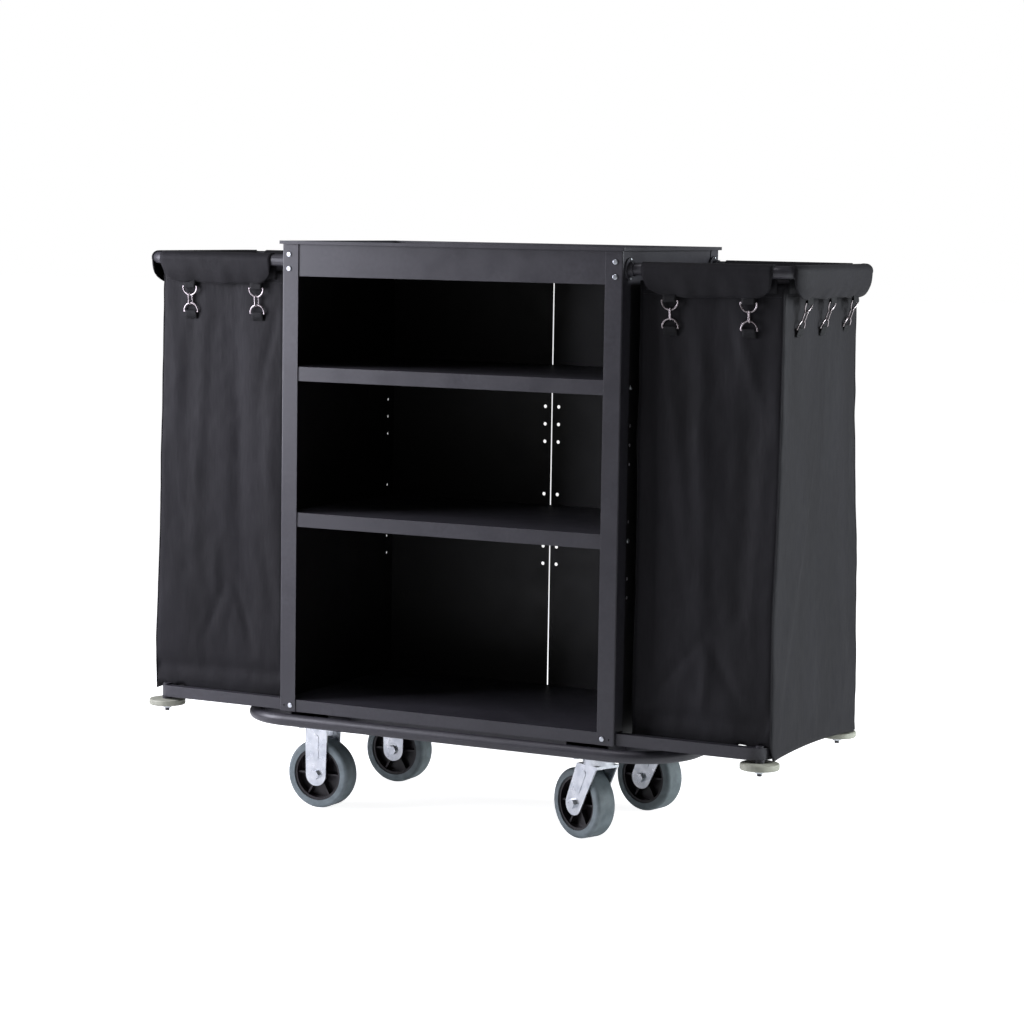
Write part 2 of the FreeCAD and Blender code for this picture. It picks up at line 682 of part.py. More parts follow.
def make_rails():
    """The U-shaped rails under the bags, with a bolted tab at each end, and their bolts."""
    def band(inset, z0, z1):
        """The rail's plan shape, inset all round, between two heights."""
        outer = end_block(half_l + rail_tab_thick, rail_x - inset, rail_half_y - inset,
                          rail_corner - inset, z0, z1)
        inner = end_block(half_l, rail_x - rail_width + inset, rail_half_y - rail_width + inset,
                          rail_corner - rail_width + inset, z0 - past, z1 + past)
        return outer.cut(inner)

    hollow = band(rail_wall, rail_bottom + rail_wall, rail_top - rail_wall)
    tab = box(half_l, half_l + rail_tab_thick, rail_half_y - rail_width - rail_tab, rail_half_y,
              rail_bottom, rail_top)
    tab = tab.cut(rod(rail_bolt_point, X, screw_r + screw_play, rail_tab_thick))
    rail = join(band(0, rail_bottom, rail_top).cut(hollow), tab, mirror_y(tab))
    hole = rod(Vec(roller_x, roller_y, rail_bottom - past), Z, roller_bolt_r + screw_play,
               rail_height + 2 * past)
    rail = rail.cut([hole, mirror_y(hole)])
    bolt = button_screw(rail_bolt_point + X * rail_tab_thick, X, screw_head_r, screw_length + rail_tab_thick)
    return {"bag_rail_right": rail, "bag_rail_left": mirror_x(rail), "rail_bolts": group(four(bolt))}


def make_rollers():
    """Bumper wheels, their spacers, and the bolts and nuts that they turn on."""
    def pin(z, radius, height):
        """A disc or pin on the wheel's axis that stands on a height."""
        return rod(Vec(roller_x, roller_y, z), Z, radius, height)

    bore_r = roller_bolt_r + running_play
    disc = pin(roller_top - roller_thick, roller_r, roller_thick)
    disc = disc.makeFillet(roller_edge, [e for e in disc.Edges if e.Closed])
    disc = disc.cut(pin(roller_top - roller_thick, bore_r, roller_thick))
    spacer = pin(roller_top + roller_gap, spacer_r, roller_spacer - roller_gap)
    spacer = spacer.cut(pin(roller_top, bore_r, roller_spacer))
    nut_z = roller_top - roller_thick - roller_gap - roller_nut_h
    bolt_z = nut_z - roller_bolt_end
    nut = hexagon(Vec(roller_x, roller_y, nut_z), Z, roller_nut_across, roller_nut_h)
    nut = nut.cut(pin(bolt_z, bore_r, roller_nut_h + 2 * roller_bolt_end))
    bolt = join(pin(bolt_z, roller_bolt_r, rail_top - bolt_z), pin(rail_top, roller_head_r, roller_head_h))
    nodes = {}
    for name, shape in zip(("back_right", "back_left", "front_right", "front_left"), four(disc)):
        nodes["bumper_wheel_" + name] = shape
    nodes["bumper_spacers"] = group(four(spacer))
    nodes["bumper_bolts"] = group(four(bolt))
    nodes["bumper_nuts"] = group(four(nut))
    return nodes


# ---------------------------------------------------------------- bags
def flap(offset, length):
    """A flap over a straight tube, in the UZ plane with U along +Y from the bag's outer face.

    It rises from the bag's mouth and goes over the tube, whose centre is offset away. It leaves the
    tube on a tangent and falls to its lower edge, which has two round corners. It is centred on X = 0.
    """
    knee = loop_z - loop_tube_r - flap_knee
    foot = knee - flap_foot
    edge_u = flap_inner_r - flap_pull
    reach = math.hypot(edge_u, flap_fall)
    leave = math.atan2(-flap_fall, edge_u) + math.acos(flap_inner_r / reach)

    def at(u, z):
        """A point of the flap's section."""
        return Vec(-length / 2, u, z)

    def round_tube(radius, turn):
        """A point of the section at a radius and angle about the tube."""
        return at(offset + radius * math.cos(turn), loop_z + radius * math.sin(turn))

    def over(radius):
        """The arc over the tube, from the inside to where the cloth leaves it."""
        return Part.Arc(round_tube(radius, math.pi), round_tube(radius, math.pi / 2),
                        round_tube(radius, leave))

    fall = Vec(0, math.sin(leave), -math.cos(leave)) * math.sqrt(reach ** 2 - flap_inner_r ** 2)
    inner_edge = round_tube(flap_inner_r, leave) + fall
    outer_edge = round_tube(flap_outer_r, leave) + fall
    tube_side = [at(0, foot), at(offset - flap_inner_r, knee), at(offset - flap_inner_r, loop_z)]
    open_side = [at(-bag_cloth, foot), at(offset - flap_outer_r, knee), at(offset - flap_outer_r, loop_z)]
    edges = [over(flap_inner_r).toShape(), over(flap_outer_r).toShape()]
    for run in (tube_side, open_side, [open_side[0], tube_side[0]],
                [round_tube(flap_inner_r, leave), inner_edge, outer_edge, round_tube(flap_outer_r, leave)]):
        edges += Part.makePolygon(run).Edges
    section = Part.Face(Part.Wire(Part.__sortEdges__(edges)))
    strip = section.extrude(X * length)
    middle = (inner_edge + outer_edge) / 2
    corners = [e for e in strip.Edges if abs(e.tangentAt(e.FirstParameter).x) < 0.1
               and math.hypot(e.CenterOfMass.y - middle.y, e.CenterOfMass.z - middle.z) < bag_cloth / 4]
    return strip.makeFillet(flap_corner, corners)


side_flap_offset = loop_half_y - bag_half_y
end_flap_offset = loop_x - bag_x


def place_back(shape):
    """Turns a flap or chain, modelled with U along +Y, to the bag's back face."""
    return shape.translated(Vec(side_flap_x, bag_half_y, 0))


def place_end(shape):
    """Turns a flap or chain, modelled with U along +Y, to the bag's end face."""
    turned = shape.copy()
    turned.rotate(Vec(0, 0, 0), Z, -90)
    return turned.translated(Vec(bag_x, 0, 0))


def make_bag():
    """A laundry bag: four walls, a floor, a skirt over the rail's end, and three flaps."""
    inner_x = half_l + bag_gap
    shell = box(inner_x, bag_x, -bag_half_y, bag_half_y, bag_floor, bag_top)
    shell = shell.cut(box(inner_x + bag_cloth, bag_x - bag_cloth,
                          -bag_half_y + bag_cloth, bag_half_y - bag_cloth,
                          bag_floor + bag_cloth, bag_top + past))
    skirt = box(bag_x - bag_cloth, bag_x, -bag_half_y, bag_half_y, bag_floor - bag_skirt, bag_floor + past)
    side = place_back(flap(side_flap_offset, side_flap_length))
    return join(shell, skirt, side, mirror_y(side), place_end(flap(end_flap_offset, end_flap_length)))


def d_ring():
    """A wire D in the XZ plane: its bar along X at the origin and its bow hanging below."""
    ends = (Vec(-ring_half_width, 0, 0), Vec(ring_half_width, 0, 0))
    bar = rod(ends[0], X, wire_r, 2 * ring_half_width)
    bow = Part.Wire(Part.Arc(ends[0], Vec(0, 0, -ring_drop), ends[1]).toShape())
    tangent = bow.Edges[0].tangentAt(bow.Edges[0].FirstParameter)
    pipe = bow.makePipeShell([Part.Wire(Part.makeCircle(wire_r, ends[0], tangent))], True, False)
    return join(bar, pipe, *[Part.makeSphere(wire_r, end) for end in ends])


def double_hook():
    """A closed wire link that hangs from one ring and holds the other, turned out of their plane."""
    grip = ring_drop - wire_r - hook_wire_r - hook_gap
    top = -grip - hook_half_width
    bottom = -(chain_length - grip) + hook_half_width
    h = hook_half_width
    edges = [Part.Arc(Vec(-h, 0, top), Vec(0, 0, top + h), Vec(h, 0, top)).toShape(),
             Part.LineSegment(Vec(h, 0, top), Vec(h, 0, bottom)).toShape(),
             Part.Arc(Vec(h, 0, bottom), Vec(0, 0, bottom - h), Vec(-h, 0, bottom)).toShape(),
             Part.LineSegment(Vec(-h, 0, bottom), Vec(-h, 0, top)).toShape()]
    circle = Part.Wire(Part.makeCircle(hook_wire_r, Vec(-h, 0, top), Z))
    link = Part.Wire(edges).makePipeShell([circle], True, False)
    link.rotate(Vec(0, 0, 0), Z, hook_turn)
    return link


def chain(offset, along):
    """Two D-rings and a double hook from a flap's lower edge back to the bag's face."""
    start_u = offset + (flap_inner_r + flap_outer_r) / 2 - flap_pull
    start = Vec(along, start_u, loop_z - flap_fall - ring_tab_drop)
    lean = math.degrees(math.asin((start_u - wire_r - ring_wall_gap) / chain_length))
    lower = d_ring().mirror(Vec(0, 0, 0), Z).translated(Vec(0, 0, -chain_length))
    parts = []
    for part in (d_ring(), lower, double_hook()):
        part.rotate(Vec(0, 0, 0), X, -lean)
        parts.append(part.translated(start))
    return parts


def make_bag_hardware():
    """D-rings and double hooks of one bag: two on each side and three at the end."""
    rings = []
    hooks = []
    chains = []
    for along in (-side_hook_spacing / 2, side_hook_spacing / 2):
        back = [place_back(p) for p in chain(side_flap_offset, along)]
        chains += [back, [mirror_y(p) for p in back]]
    for along in (-end_hook_spacing, 0, end_hook_spacing):
        chains.append([place_end(p) for p in chain(end_flap_offset, along)])
    for upper, lower, hook in chains:
        rings += [upper, lower]
        hooks.append(hook)
    return group(rings), group(hooks)


def make_bags():
    """Both bags with their hardware."""
    bag = make_bag()
    rings, hooks = make_bag_hardware()
    return {"bag_right": bag, "bag_left": mirror_x(bag),
            "bag_rings_right": rings, "bag_rings_left": mirror_x(rings),
            "bag_hooks_right": hooks, "bag_hooks_left": mirror_x(hooks)}


# ---------------------------------------------------------------- whole cart
cart = {}
for make in (make_posts, make_panels, make_tray, make_shelves, make_cabinet_screws, make_base,
             make_casters, make_loops, make_rails, make_rollers, make_bags):
    cart.update(make())
os.makedirs("parts", exist_ok=True)
for node, shape in cart.items():
    shape.exportStep("parts/" + node + ".step")
print(len(cart), "nodes")
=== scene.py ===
"""The looks of a housekeeping cart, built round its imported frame.

The steel parts, casters, screws, rings and hooks are the frame's own nodes and get real finishes
here. The two laundry bags are built new: a lofted cloth shell with its folds, three flaps over the
tube loop, webbing tabs that hold the D-rings, corner seams and stitching. Metres, +X to the swivel
end, +Y to the closed back, +Z up.
"""
import sys
import json
import logging
import math
from dataclasses import dataclass
from enum import Enum
from typing import Any

import bpy
import numpy as np
from mathutils import Matrix, Vector, noise


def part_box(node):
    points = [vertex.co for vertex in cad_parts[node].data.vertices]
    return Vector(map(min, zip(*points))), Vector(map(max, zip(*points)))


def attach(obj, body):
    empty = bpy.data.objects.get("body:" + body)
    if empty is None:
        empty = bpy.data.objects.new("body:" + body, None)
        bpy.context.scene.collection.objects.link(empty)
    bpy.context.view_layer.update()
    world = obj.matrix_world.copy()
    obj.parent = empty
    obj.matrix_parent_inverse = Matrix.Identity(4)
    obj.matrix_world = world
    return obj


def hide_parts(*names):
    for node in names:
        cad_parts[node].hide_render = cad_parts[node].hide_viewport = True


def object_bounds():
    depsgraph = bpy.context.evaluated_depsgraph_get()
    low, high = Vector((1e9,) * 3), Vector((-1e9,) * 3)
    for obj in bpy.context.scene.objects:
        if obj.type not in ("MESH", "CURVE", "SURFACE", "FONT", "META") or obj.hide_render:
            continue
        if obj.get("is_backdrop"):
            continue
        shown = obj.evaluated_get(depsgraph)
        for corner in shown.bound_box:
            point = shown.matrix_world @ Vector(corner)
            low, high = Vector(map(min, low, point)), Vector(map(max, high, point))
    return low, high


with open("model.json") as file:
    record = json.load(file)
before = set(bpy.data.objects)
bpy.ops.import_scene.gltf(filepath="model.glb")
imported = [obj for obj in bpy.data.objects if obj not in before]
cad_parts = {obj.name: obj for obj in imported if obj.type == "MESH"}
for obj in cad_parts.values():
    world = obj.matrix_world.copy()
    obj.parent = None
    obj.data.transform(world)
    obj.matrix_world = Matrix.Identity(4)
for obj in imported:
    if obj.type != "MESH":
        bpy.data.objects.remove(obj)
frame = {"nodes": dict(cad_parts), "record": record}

log = logging.getLogger("cart")
MM = 0.001
BODY = "cabinet"


# ---------------------------------------------------------------- colours and shader nodes
def linear(hex_colour: str) -> tuple[float, float, float, float]:
    """Turns an sRGB hex colour into the linear colour that a shader takes.

    Args:
        hex_colour: a colour such as "#3c3d42".

    Returns:
        Linear red, green, blue and an alpha of 1.
    """
    parts = [int(hex_colour[i:i + 2], 16) / 255 for i in (1, 3, 5)]
    r, g, b = [c / 12.92 if c <= 0.04045 else ((c + 0.055) / 1.055) ** 2.4 for c in parts]
    return r, g, b, 1.0


def add_node(tree: bpy.types.NodeTree, kind: str, inputs: dict[Any, Any] | None = None,
             **settings: Any) -> bpy.types.Node:
    """Adds a node with its settings and links.

    Args:
        tree: the node tree that it goes in.
        kind: Blender's name of the node's type.
        inputs: a value, or a socket to link from, for each input by its name or number.
        settings: the node's own properties.

    Returns:
        The new node.
    """
    node = tree.nodes.new(kind)
    for name, value in settings.items():
        setattr(node, name, value)
    for key, value in (inputs or {}).items():
        if isinstance(value, bpy.types.NodeSocket):
            tree.links.new(value, node.inputs[key])
        else:
            node.inputs[key].default_value = value
    return node


def new_material(name: str) -> tuple[bpy.types.Material, bpy.types.NodeTree]:
    """Makes an empty node material.

    Args:
        name: its name.

    Returns:
        The material and its node tree.
    """
    material = bpy.data.materials.new(name)
    material.use_nodes = True
    material.node_tree.nodes.clear()
    return material, material.node_tree


def per_mm(size_mm: float) -> float:
    """The noise scale whose cells are about size_mm across, in a tree that works in metres."""
    return 1 / (size_mm * MM)


def patches(tree: bpy.types.NodeTree, size_mm: float, detail: float, low: float, high: float,
            stretch: tuple[float, float, float] = (1, 1, 1)) -> bpy.types.NodeSocket:
    """A noise of a real size, spread between two values.

    Args:
        tree: the material's tree.
        size_mm: size of the noise's cells.
        detail: octaves of finer noise.
        low: the value in the noise's valleys.
        high: the value on its peaks.
        stretch: how much finer the noise is along each axis.

    Returns:
        The socket that carries the value.
    """
    place = add_node(tree, "ShaderNodeTexCoord").outputs["Object"]
    place = add_node(tree, "ShaderNodeMapping", {"Vector": place, "Scale": stretch}).outputs["Vector"]
    cells = add_node(tree, "ShaderNodeTexNoise",
                     {"Vector": place, "Scale": per_mm(size_mm), "Detail": detail})
    return add_node(tree, "ShaderNodeMapRange", {
        "Value": cells.outputs["Fac"], "From Min": 0.3, "From Max": 0.7, "To Min": low, "To Max": high,
    }).outputs["Result"]


def blend_colours(tree: bpy.types.NodeTree, share: bpy.types.NodeSocket, first: Any,
                  second: Any) -> bpy.types.NodeSocket:
    """Mixes two colours by a share.

    Args:
        tree: the material's tree.
        share: how much of the second colour there is, from 0 to 1.
        first: a hex colour or a socket.
        second: a hex colour or a socket.

    Returns:
        The socket that carries the colour.
    """
    first, second = [linear(c) if isinstance(c, str) else c for c in (first, second)]
    mix = add_node(tree, "ShaderNodeMix", {0: share, 6: first, 7: second}, data_type="RGBA")
    return mix.outputs[2]


def bumped(tree: bpy.types.NodeTree, height: bpy.types.NodeSocket, depth_mm: float,
           below: bpy.types.NodeSocket | None = None) -> bpy.types.NodeSocket:
    """A normal that a height of some real depth has tilted.

    Args:
        tree: the material's tree.
        height: the height, from 0 to 1.
        depth_mm: the real depth of a height of 1.
        below: the normal that it goes over, if not the surface's own.

    Returns:
        The socket that carries the normal.
    """
    inputs = {"Height": height, "Distance": depth_mm * MM, "Strength": 1.0}
    if below is not None:
        inputs["Normal"] = below
    return add_node(tree, "ShaderNodeBump", inputs).outputs["Normal"]


def surface(tree: bpy.types.NodeTree, inputs: dict[str, Any]) -> None:
    """Ends a material in a Principled shader with these inputs."""
    shader = add_node(tree, "ShaderNodeBsdfPrincipled", inputs)
    add_node(tree, "ShaderNodeOutputMaterial", {"Surface": shader.outputs["BSDF"]})


# ---------------------------------------------------------------- finishes
@dataclass(frozen=True)
class PowderCoat:
    """Polyester powder coat on steel, sprayed and baked.

    It gives a satin skin whose fine orange peel breaks up highlights, rounds every cut edge a little
    and shows a slightly greyer tone where hands and linen rub it.
    """

    name: str
    colour: str
    rubbed: str
    roughness: float
    peel_mm: float = 1.4        # about 0.7 mm on the real coat, drawn twice as coarse so that it shows
    peel_depth_mm: float = 0.035
    edge_mm: float = 0.9
    rub_mm: float = 140         # patches that hands and linen rub
    speck_mm: float = 9         # the uneven tone inside them
    haze_mm: float = 60         # slow change of gloss across a sheet

    def material(self) -> bpy.types.Material:
        """Builds the finish.

        Returns:
            The material.
        """
        material, tree = new_material(self.name)
        rub = patches(tree, self.rub_mm, 3, 0.0, 1.0)
        fine = patches(tree, self.speck_mm, 2, 0.0, 0.35)
        share = add_node(tree, "ShaderNodeMath", {0: rub, 1: fine}, operation="MULTIPLY").outputs[0]
        peel = patches(tree, self.peel_mm, 1, 0.0, 1.0)
        rounded = add_node(tree, "ShaderNodeBevel", {"Radius": self.edge_mm * MM}, samples=3)
        surface(tree, {
            "Base Color": blend_colours(tree, share, self.colour, self.rubbed),
            "Roughness": patches(tree, self.haze_mm, 3, self.roughness - 0.04, self.roughness + 0.06),
            "Normal": bumped(tree, peel, self.peel_depth_mm, rounded.outputs["Normal"]),
        })
        return material


@dataclass(frozen=True)
class PlatedMetal:
    """Electroplated steel: bright, a little uneven in tone, with a fine brushed or drawn grain."""

    name: str
    colour: str
    dulled: str
    roughness: float
    grain_mm: float             # drawn coarser than the real grain, which is too fine to show
    grain_depth_mm: float
    cloud_mm: float = 22        # dull clouds in the plating
    haze_mm: float = 14

    def material(self) -> bpy.types.Material:
        """Builds the finish.

        Returns:
            The material.
        """
        material, tree = new_material(self.name)
        clouds = patches(tree, self.cloud_mm, 3, 0.0, 1.0)
        grain = patches(tree, self.grain_mm, 2, 0.0, 1.0, (1, 1, 0.2))
        surface(tree, {
            "Base Color": blend_colours(tree, clouds, self.colour, self.dulled),
            "Metallic": 1.0,
            "Roughness": patches(tree, self.haze_mm, 2, self.roughness - 0.05, self.roughness + 0.08),
            "Normal": bumped(tree, grain, self.grain_depth_mm),
        })
        return material


@dataclass(frozen=True)
class MouldedPolymer:
    """Moulded rubber or plastic: a close matt or satin skin with scuffs where it rolls or is knocked."""

    name: str
    colour: str
    scuffed: str
    roughness: float
    skin_mm: float              # drawn coarser than the mould's own texture, so that it shows
    skin_depth_mm: float
    scuffs: float
    scuff_mm: float = 18
    haze_mm: float = 30

    def material(self) -> bpy.types.Material:
        """Builds the finish.

        Returns:
            The material.
        """
        material, tree = new_material(self.name)
        worn = patches(tree, self.scuff_mm, 5, 0.0, self.scuffs)
        skin = patches(tree, self.skin_mm, 2, 0.0, 1.0)
        surface(tree, {
            "Base Color": blend_colours(tree, worn, self.colour, self.scuffed),
            "Roughness": patches(tree, self.haze_mm, 3, self.roughness - 0.05, self.roughness + 0.08),
            "Normal": bumped(tree, skin, self.skin_depth_mm),
        })
        return material


@dataclass(frozen=True)
class WovenCloth:
    """Plain-woven polyester with a coated back: a crossing of round threads under a dull sheen.

    The weave follows the walls without a map: on every upright wall one of x and y stays the same, so
    their sum counts the threads across it, and z counts the threads up it.
    """

    name: str
    colour: str
    faded: str
    roughness: float
    thread_mm: float            # real threads are well under a millimetre, drawn coarser to show
    thread_depth_mm: float
    sheen: float
    gloss: float                # specular level, below a plain surface's 0.5 because fibres trap light
    wash_mm: float = 120        # slow fading
    slub_mm: float = 4          # thicker places in a thread
    crease_mm: float = 34       # fine creasing from folding and use
    crease_depth_mm: float = 0.5

    def threads(self, tree: bpy.types.NodeTree) -> bpy.types.NodeSocket:
        """Height of the crossing threads.

        Args:
            tree: the material's tree.

        Returns:
            The socket that carries the height.
        """
        place = add_node(tree, "ShaderNodeTexCoord").outputs["Object"]
        axes = add_node(tree, "ShaderNodeSeparateXYZ", {0: place})
        across = add_node(tree, "ShaderNodeMath", {0: axes.outputs[0], 1: axes.outputs[1]}, operation="ADD")
        waves = []
        for way in (across.outputs[0], axes.outputs[2]):
            turns = add_node(tree, "ShaderNodeMath", {0: way, 1: math.pi / (self.thread_mm * MM)},
                             operation="MULTIPLY")
            wave = add_node(tree, "ShaderNodeMath", {0: turns.outputs[0]}, operation="SINE")
            waves.append(wave.outputs[0])
        crossed = add_node(tree, "ShaderNodeMath", {0: waves[0], 1: waves[1]}, operation="MULTIPLY")
        return crossed.outputs[0]

    def material(self) -> bpy.types.Material:
        """Builds the finish.

        Returns:
            The material.
        """
        material, tree = new_material(self.name)
        washed = patches(tree, self.wash_mm, 4, 0.0, 0.8, (1, 1, 0.35))
        slubs = patches(tree, self.slub_mm, 2, 0.0, 1.0, (1, 1, 0.12))
        creases = patches(tree, self.crease_mm, 4, 0.0, 1.0, (1, 1, 0.5))
        creased = bumped(tree, creases, self.crease_depth_mm)
        surface(tree, {
            "Base Color": blend_colours(tree, washed, self.colour, self.faded),
            "Roughness": add_node(tree, "ShaderNodeMapRange", {
                "Value": slubs, "To Min": self.roughness - 0.05, "To Max": self.roughness + 0.05,
            }).outputs["Result"],
            "Specular IOR Level": self.gloss,
            "Sheen Weight": self.sheen,
            "Sheen Roughness": 0.45,
            "Normal": bumped(tree, self.threads(tree), self.thread_depth_mm, creased),
        })
        return material


FINISHES = {
    "frame_paint": PowderCoat("black_grey_powder_coat", "#2a292e", "#403f45", 0.40),
    "panel_paint": PowderCoat("black_powder_coat", "#0a0809", "#141214", 0.48),
    "zinc": PlatedMetal("bright_zinc_plate", "#d8dbde", "#b9bec4", 0.30, 1.2, 0.012),
    "ring_steel": PlatedMetal("nickel_plated_wire", "#b3abad", "#857c7d", 0.26, 0.8, 0.006),
    "tyre": MouldedPolymer("grey_thermoplastic_rubber", "#5c6669", "#7b8689", 0.55, 1.6, 0.05, 0.7),
    "wheel_centre": MouldedPolymer("moulded_polypropylene", "#171316", "#221e22", 0.38, 1.5, 0.03, 0.5),
    "bumper": MouldedPolymer("beige_grey_bumper_rubber", "#86877a", "#a2a394", 0.60, 2.0, 0.06, 0.8),
    "bag_cloth": WovenCloth("coated_woven_polyester", "#0e0d10", "#17161a", 0.66, 1.6, 0.10, 0.03, 0.17),
}
WEBBING = WovenCloth("woven_polyester_webbing", "#0c0c0e", "#141416", 0.70, 2.2, 0.25, 0.02, 0.20)
THREAD = WovenCloth("bonded_polyester_thread", "#1c1c1f", "#28282b", 0.50, 0.8, 0.10, 0.05, 0.35)


# ---------------------------------------------------------------- mesh helpers
def mesh_object(name: str, points: Any, faces: list[tuple[int, ...]], material: bpy.types.Material) -> bpy.types.Object:
    """Makes a smooth-shaded mesh object that rides on the cart's body.

    Args:
        name: the piece's name.
        points: its vertices, in metres.
        faces: vertex numbers of each face.
        material: its finish.

    Returns:
        The new object.
    """
    mesh = bpy.data.meshes.new(name)
    mesh.from_pydata([tuple(map(float, p)) for p in points], [], faces)
    mesh.materials.append(material)
    mesh.validate()
    mesh.shade_smooth()
    made = bpy.data.objects.new(name, mesh)
    bpy.context.scene.collection.objects.link(made)
    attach(made, BODY)
    return made


def grid_faces(rows: int, columns: int, closed: bool, flip: bool) -> list[tuple[int, ...]]:
    """Quads of a grid of rows x columns vertices, counted row by row.

    Args:
        rows: how many rows of vertices.
        columns: how many vertices in a row.
        closed: whether the last column joins the first.
        flip: whether the faces look the other way.

    Returns:
        The faces.
    """
    faces = []
    for r in range(rows - 1):
        for c in range(columns if closed else columns - 1):
            d = (c + 1) % columns
            quad = (r * columns + c, r * columns + d, (r + 1) * columns + d, (r + 1) * columns + c)
            faces.append(quad[::-1] if flip else quad)
    return faces


def shifted(faces: list[tuple[int, ...]], base: int) -> list[tuple[int, ...]]:
    """The same faces, counted from vertex number base."""
    return [tuple(base + f for f in face) for face in faces]


def add_rod(points: list[Vector], faces: list[tuple[int, ...]], rings: list[list[Vector]]) -> None:
    """Adds a closed rod whose skin runs through some rings of points.

    Args:
        points: the vertices so far, which it adds to.
        faces: the faces so far, which it adds to.
        rings: the points of each ring, from one end to the other.
    """
    base, sides = len(points), len(rings[0])
    for ring in rings:
        points += ring
    faces += shifted(grid_faces(len(rings), sides, True, False), base)
    top = (len(rings) - 1) * sides
    faces += shifted([tuple(reversed(range(sides))), tuple(range(top, top + sides))], base)


def thicken(piece: bpy.types.Object, thickness: float) -> None:
    """Gives a cloth its thickness, half on each side.

    Args:
        piece: the cloth.
        thickness: its thickness in metres.
    """
    skin = piece.modifiers.new("thickness", "SOLIDIFY")
    skin.thickness = thickness
    skin.offset = 0


def smooth_step(x: Any) -> Any:
    """0 below 0, 1 above 1 and smooth between, for numbers or arrays."""
    x = np.clip(x, 0, 1)
    return x * x * (3 - 2 * x)


def islands(node: str) -> list[tuple[Vector, Vector]]:
    """The box of each separate solid of a CAD node.

    Args:
        node: the node's name.

    Returns:
        Lowest and highest corner of each solid.
    """
    mesh = frame["nodes"][node].data
    places: dict[tuple[float, ...], int] = {}
    same = [places.setdefault(tuple(round(c, 6) for c in v.co), v.index) for v in mesh.vertices]
    parent = list(range(len(mesh.vertices)))

    def root(i: int) -> int:
        """The vertex that stands for vertex i's solid."""
        while parent[i] != i:
            parent[i] = parent[parent[i]]
            i = parent[i]
        return i

    for edge in mesh.edges:
        a, b = (root(same[v]) for v in edge.vertices)
        parent[a] = b
    solids: dict[int, list[Vector]] = {}
    for v in mesh.vertices:
        solids.setdefault(root(same[v.index]), []).append(v.co)
    boxes = []
    for points in solids.values():
        co = np.array([tuple(p) for p in points])
        boxes.append((Vector(co.min(0)), Vector(co.max(0))))
    return boxes


# ---------------------------------------------------------------- bags
class Side(Enum):
    """Which end of the cart a bag hangs at."""

    LEFT = "left"
    RIGHT = "right"

    @property
    def sign(self) -> int:
        """1 at +X and -1 at -X."""
        return 1 if self is Side.RIGHT else -1


class Wall(Enum):
    """The four walls of a bag."""

    FRONT = "front"
    END = "end"
    BACK = "back"
    INNER = "inner"


@dataclass(frozen=True)
class Fold:
    """A soft ridge or valley in a wall.

    Places are (share across the wall, height in metres). The share runs from the cabinet outwards on
    the front and back walls, and from front to back on the end and inner walls.
    """

    wall: Wall
    top: tuple[float, float]
    foot: tuple[float, float]
    width: float
    depth: float

    def push(self, across: np.ndarray, z: np.ndarray, span: float) -> np.ndarray:
        """How far the fold pushes each point of its wall outwards.

        Args:
            across: each point's distance from the wall's first edge.
            z: each point's height.
            span: the wall's width.

        Returns:
            The push, in metres.
        """
        start = np.array([self.top[0] * span, self.top[1]])
        along = np.array([self.foot[0] * span, self.foot[1]]) - start
        length = float(np.hypot(*along))
        way = along / length
        dx, dz = across - start[0], z - start[1]
        t = np.clip((dx * way[0] + dz * way[1]) / length, 0, 1)
        away = np.hypot(dx - t * length * way[0], dz - t * length * way[1])
        return self.depth * np.exp(-(away / self.width) ** 2) * (0.3 + 0.7 * np.sin(math.pi * t))


@dataclass(frozen=True)
class Wander:
    """A stretch of one outer corner that stands out from, or in behind, its straight line."""

    back: bool              # the corner at +Y rather than the one at -Y
    out: float              # metres, negative for inwards
    height: float
    spread: float


@dataclass(frozen=True)
class Crumple:
    """Unevenness of hanging cloth: a noise whose cells are taller than they are wide."""

    depth: float            # metres
    across: float           # cells in a metre
    upward: float
    fading: float           # how fast the finer octaves fade
    finer: float            # how much finer each octave is
    octaves: int

    def push(self, x: np.ndarray, y: np.ndarray, z: np.ndarray, shift: tuple[float, float]) -> np.ndarray:
        """How far it pushes each point outwards.

        Args:
            x: each point's place along the cart.
            y: each point's place across it.
            z: each point's height.
            shift: where in the noise the bag stands, so that the two bags differ.

        Returns:
            The push, in metres.
        """
        return self.depth * np.array([
            noise.fractal((px * self.across + shift[0], py * self.across + shift[1], pz * self.upward),
                          self.fading, self.finer, self.octaves) for px, py, pz in zip(x, y, z)
        ])


@dataclass(frozen=True)
class Ripple:
    """A wave along a flap's hanging edge."""

    depth: float            # metres
    rate: float             # radians in a metre
    shift: int              # how many times the bag's seed moves it along

    def at(self, s: float, seed: float) -> float:
        """Its height, s along the flap."""
        return self.depth * math.sin(s * self.rate + self.shift * seed)


SOFT_CRUMPLE = Crumple(0.0042, 7, 2.6, 0.8, 2.1, 4)
FINE_CRUMPLE = Crumple(0.0009, 22, 8, 0.9, 2.0, 3)
RIPPLES_OUT = (Ripple(0.0016, 58, 1), Ripple(0.0011, 131, 2))
RIPPLE_UP = Ripple(0.0012, 41, 3)


@dataclass(frozen=True)
class Column:
    """One upright line of a bag's shell, seen from above."""

    x: float
    y: float
    nx: float               # outward normal
    ny: float
    wall: Wall
    share: float            # how far across the wall it stands, from 0 to 1

    @property
    def slanted(self) -> bool:
        """Whether it stands on a corner's curve rather than on a flat wall."""
        return min(abs(self.nx), abs(self.ny)) > 0.4


@dataclass(frozen=True)
class RingBar:
    """The straight bar of a D-ring, which a webbing tab holds."""

    centre: Vector
    along: Vector
    out: Vector             # away from the bag
    upper: bool             # held by a flap's lower edge rather than by the wall


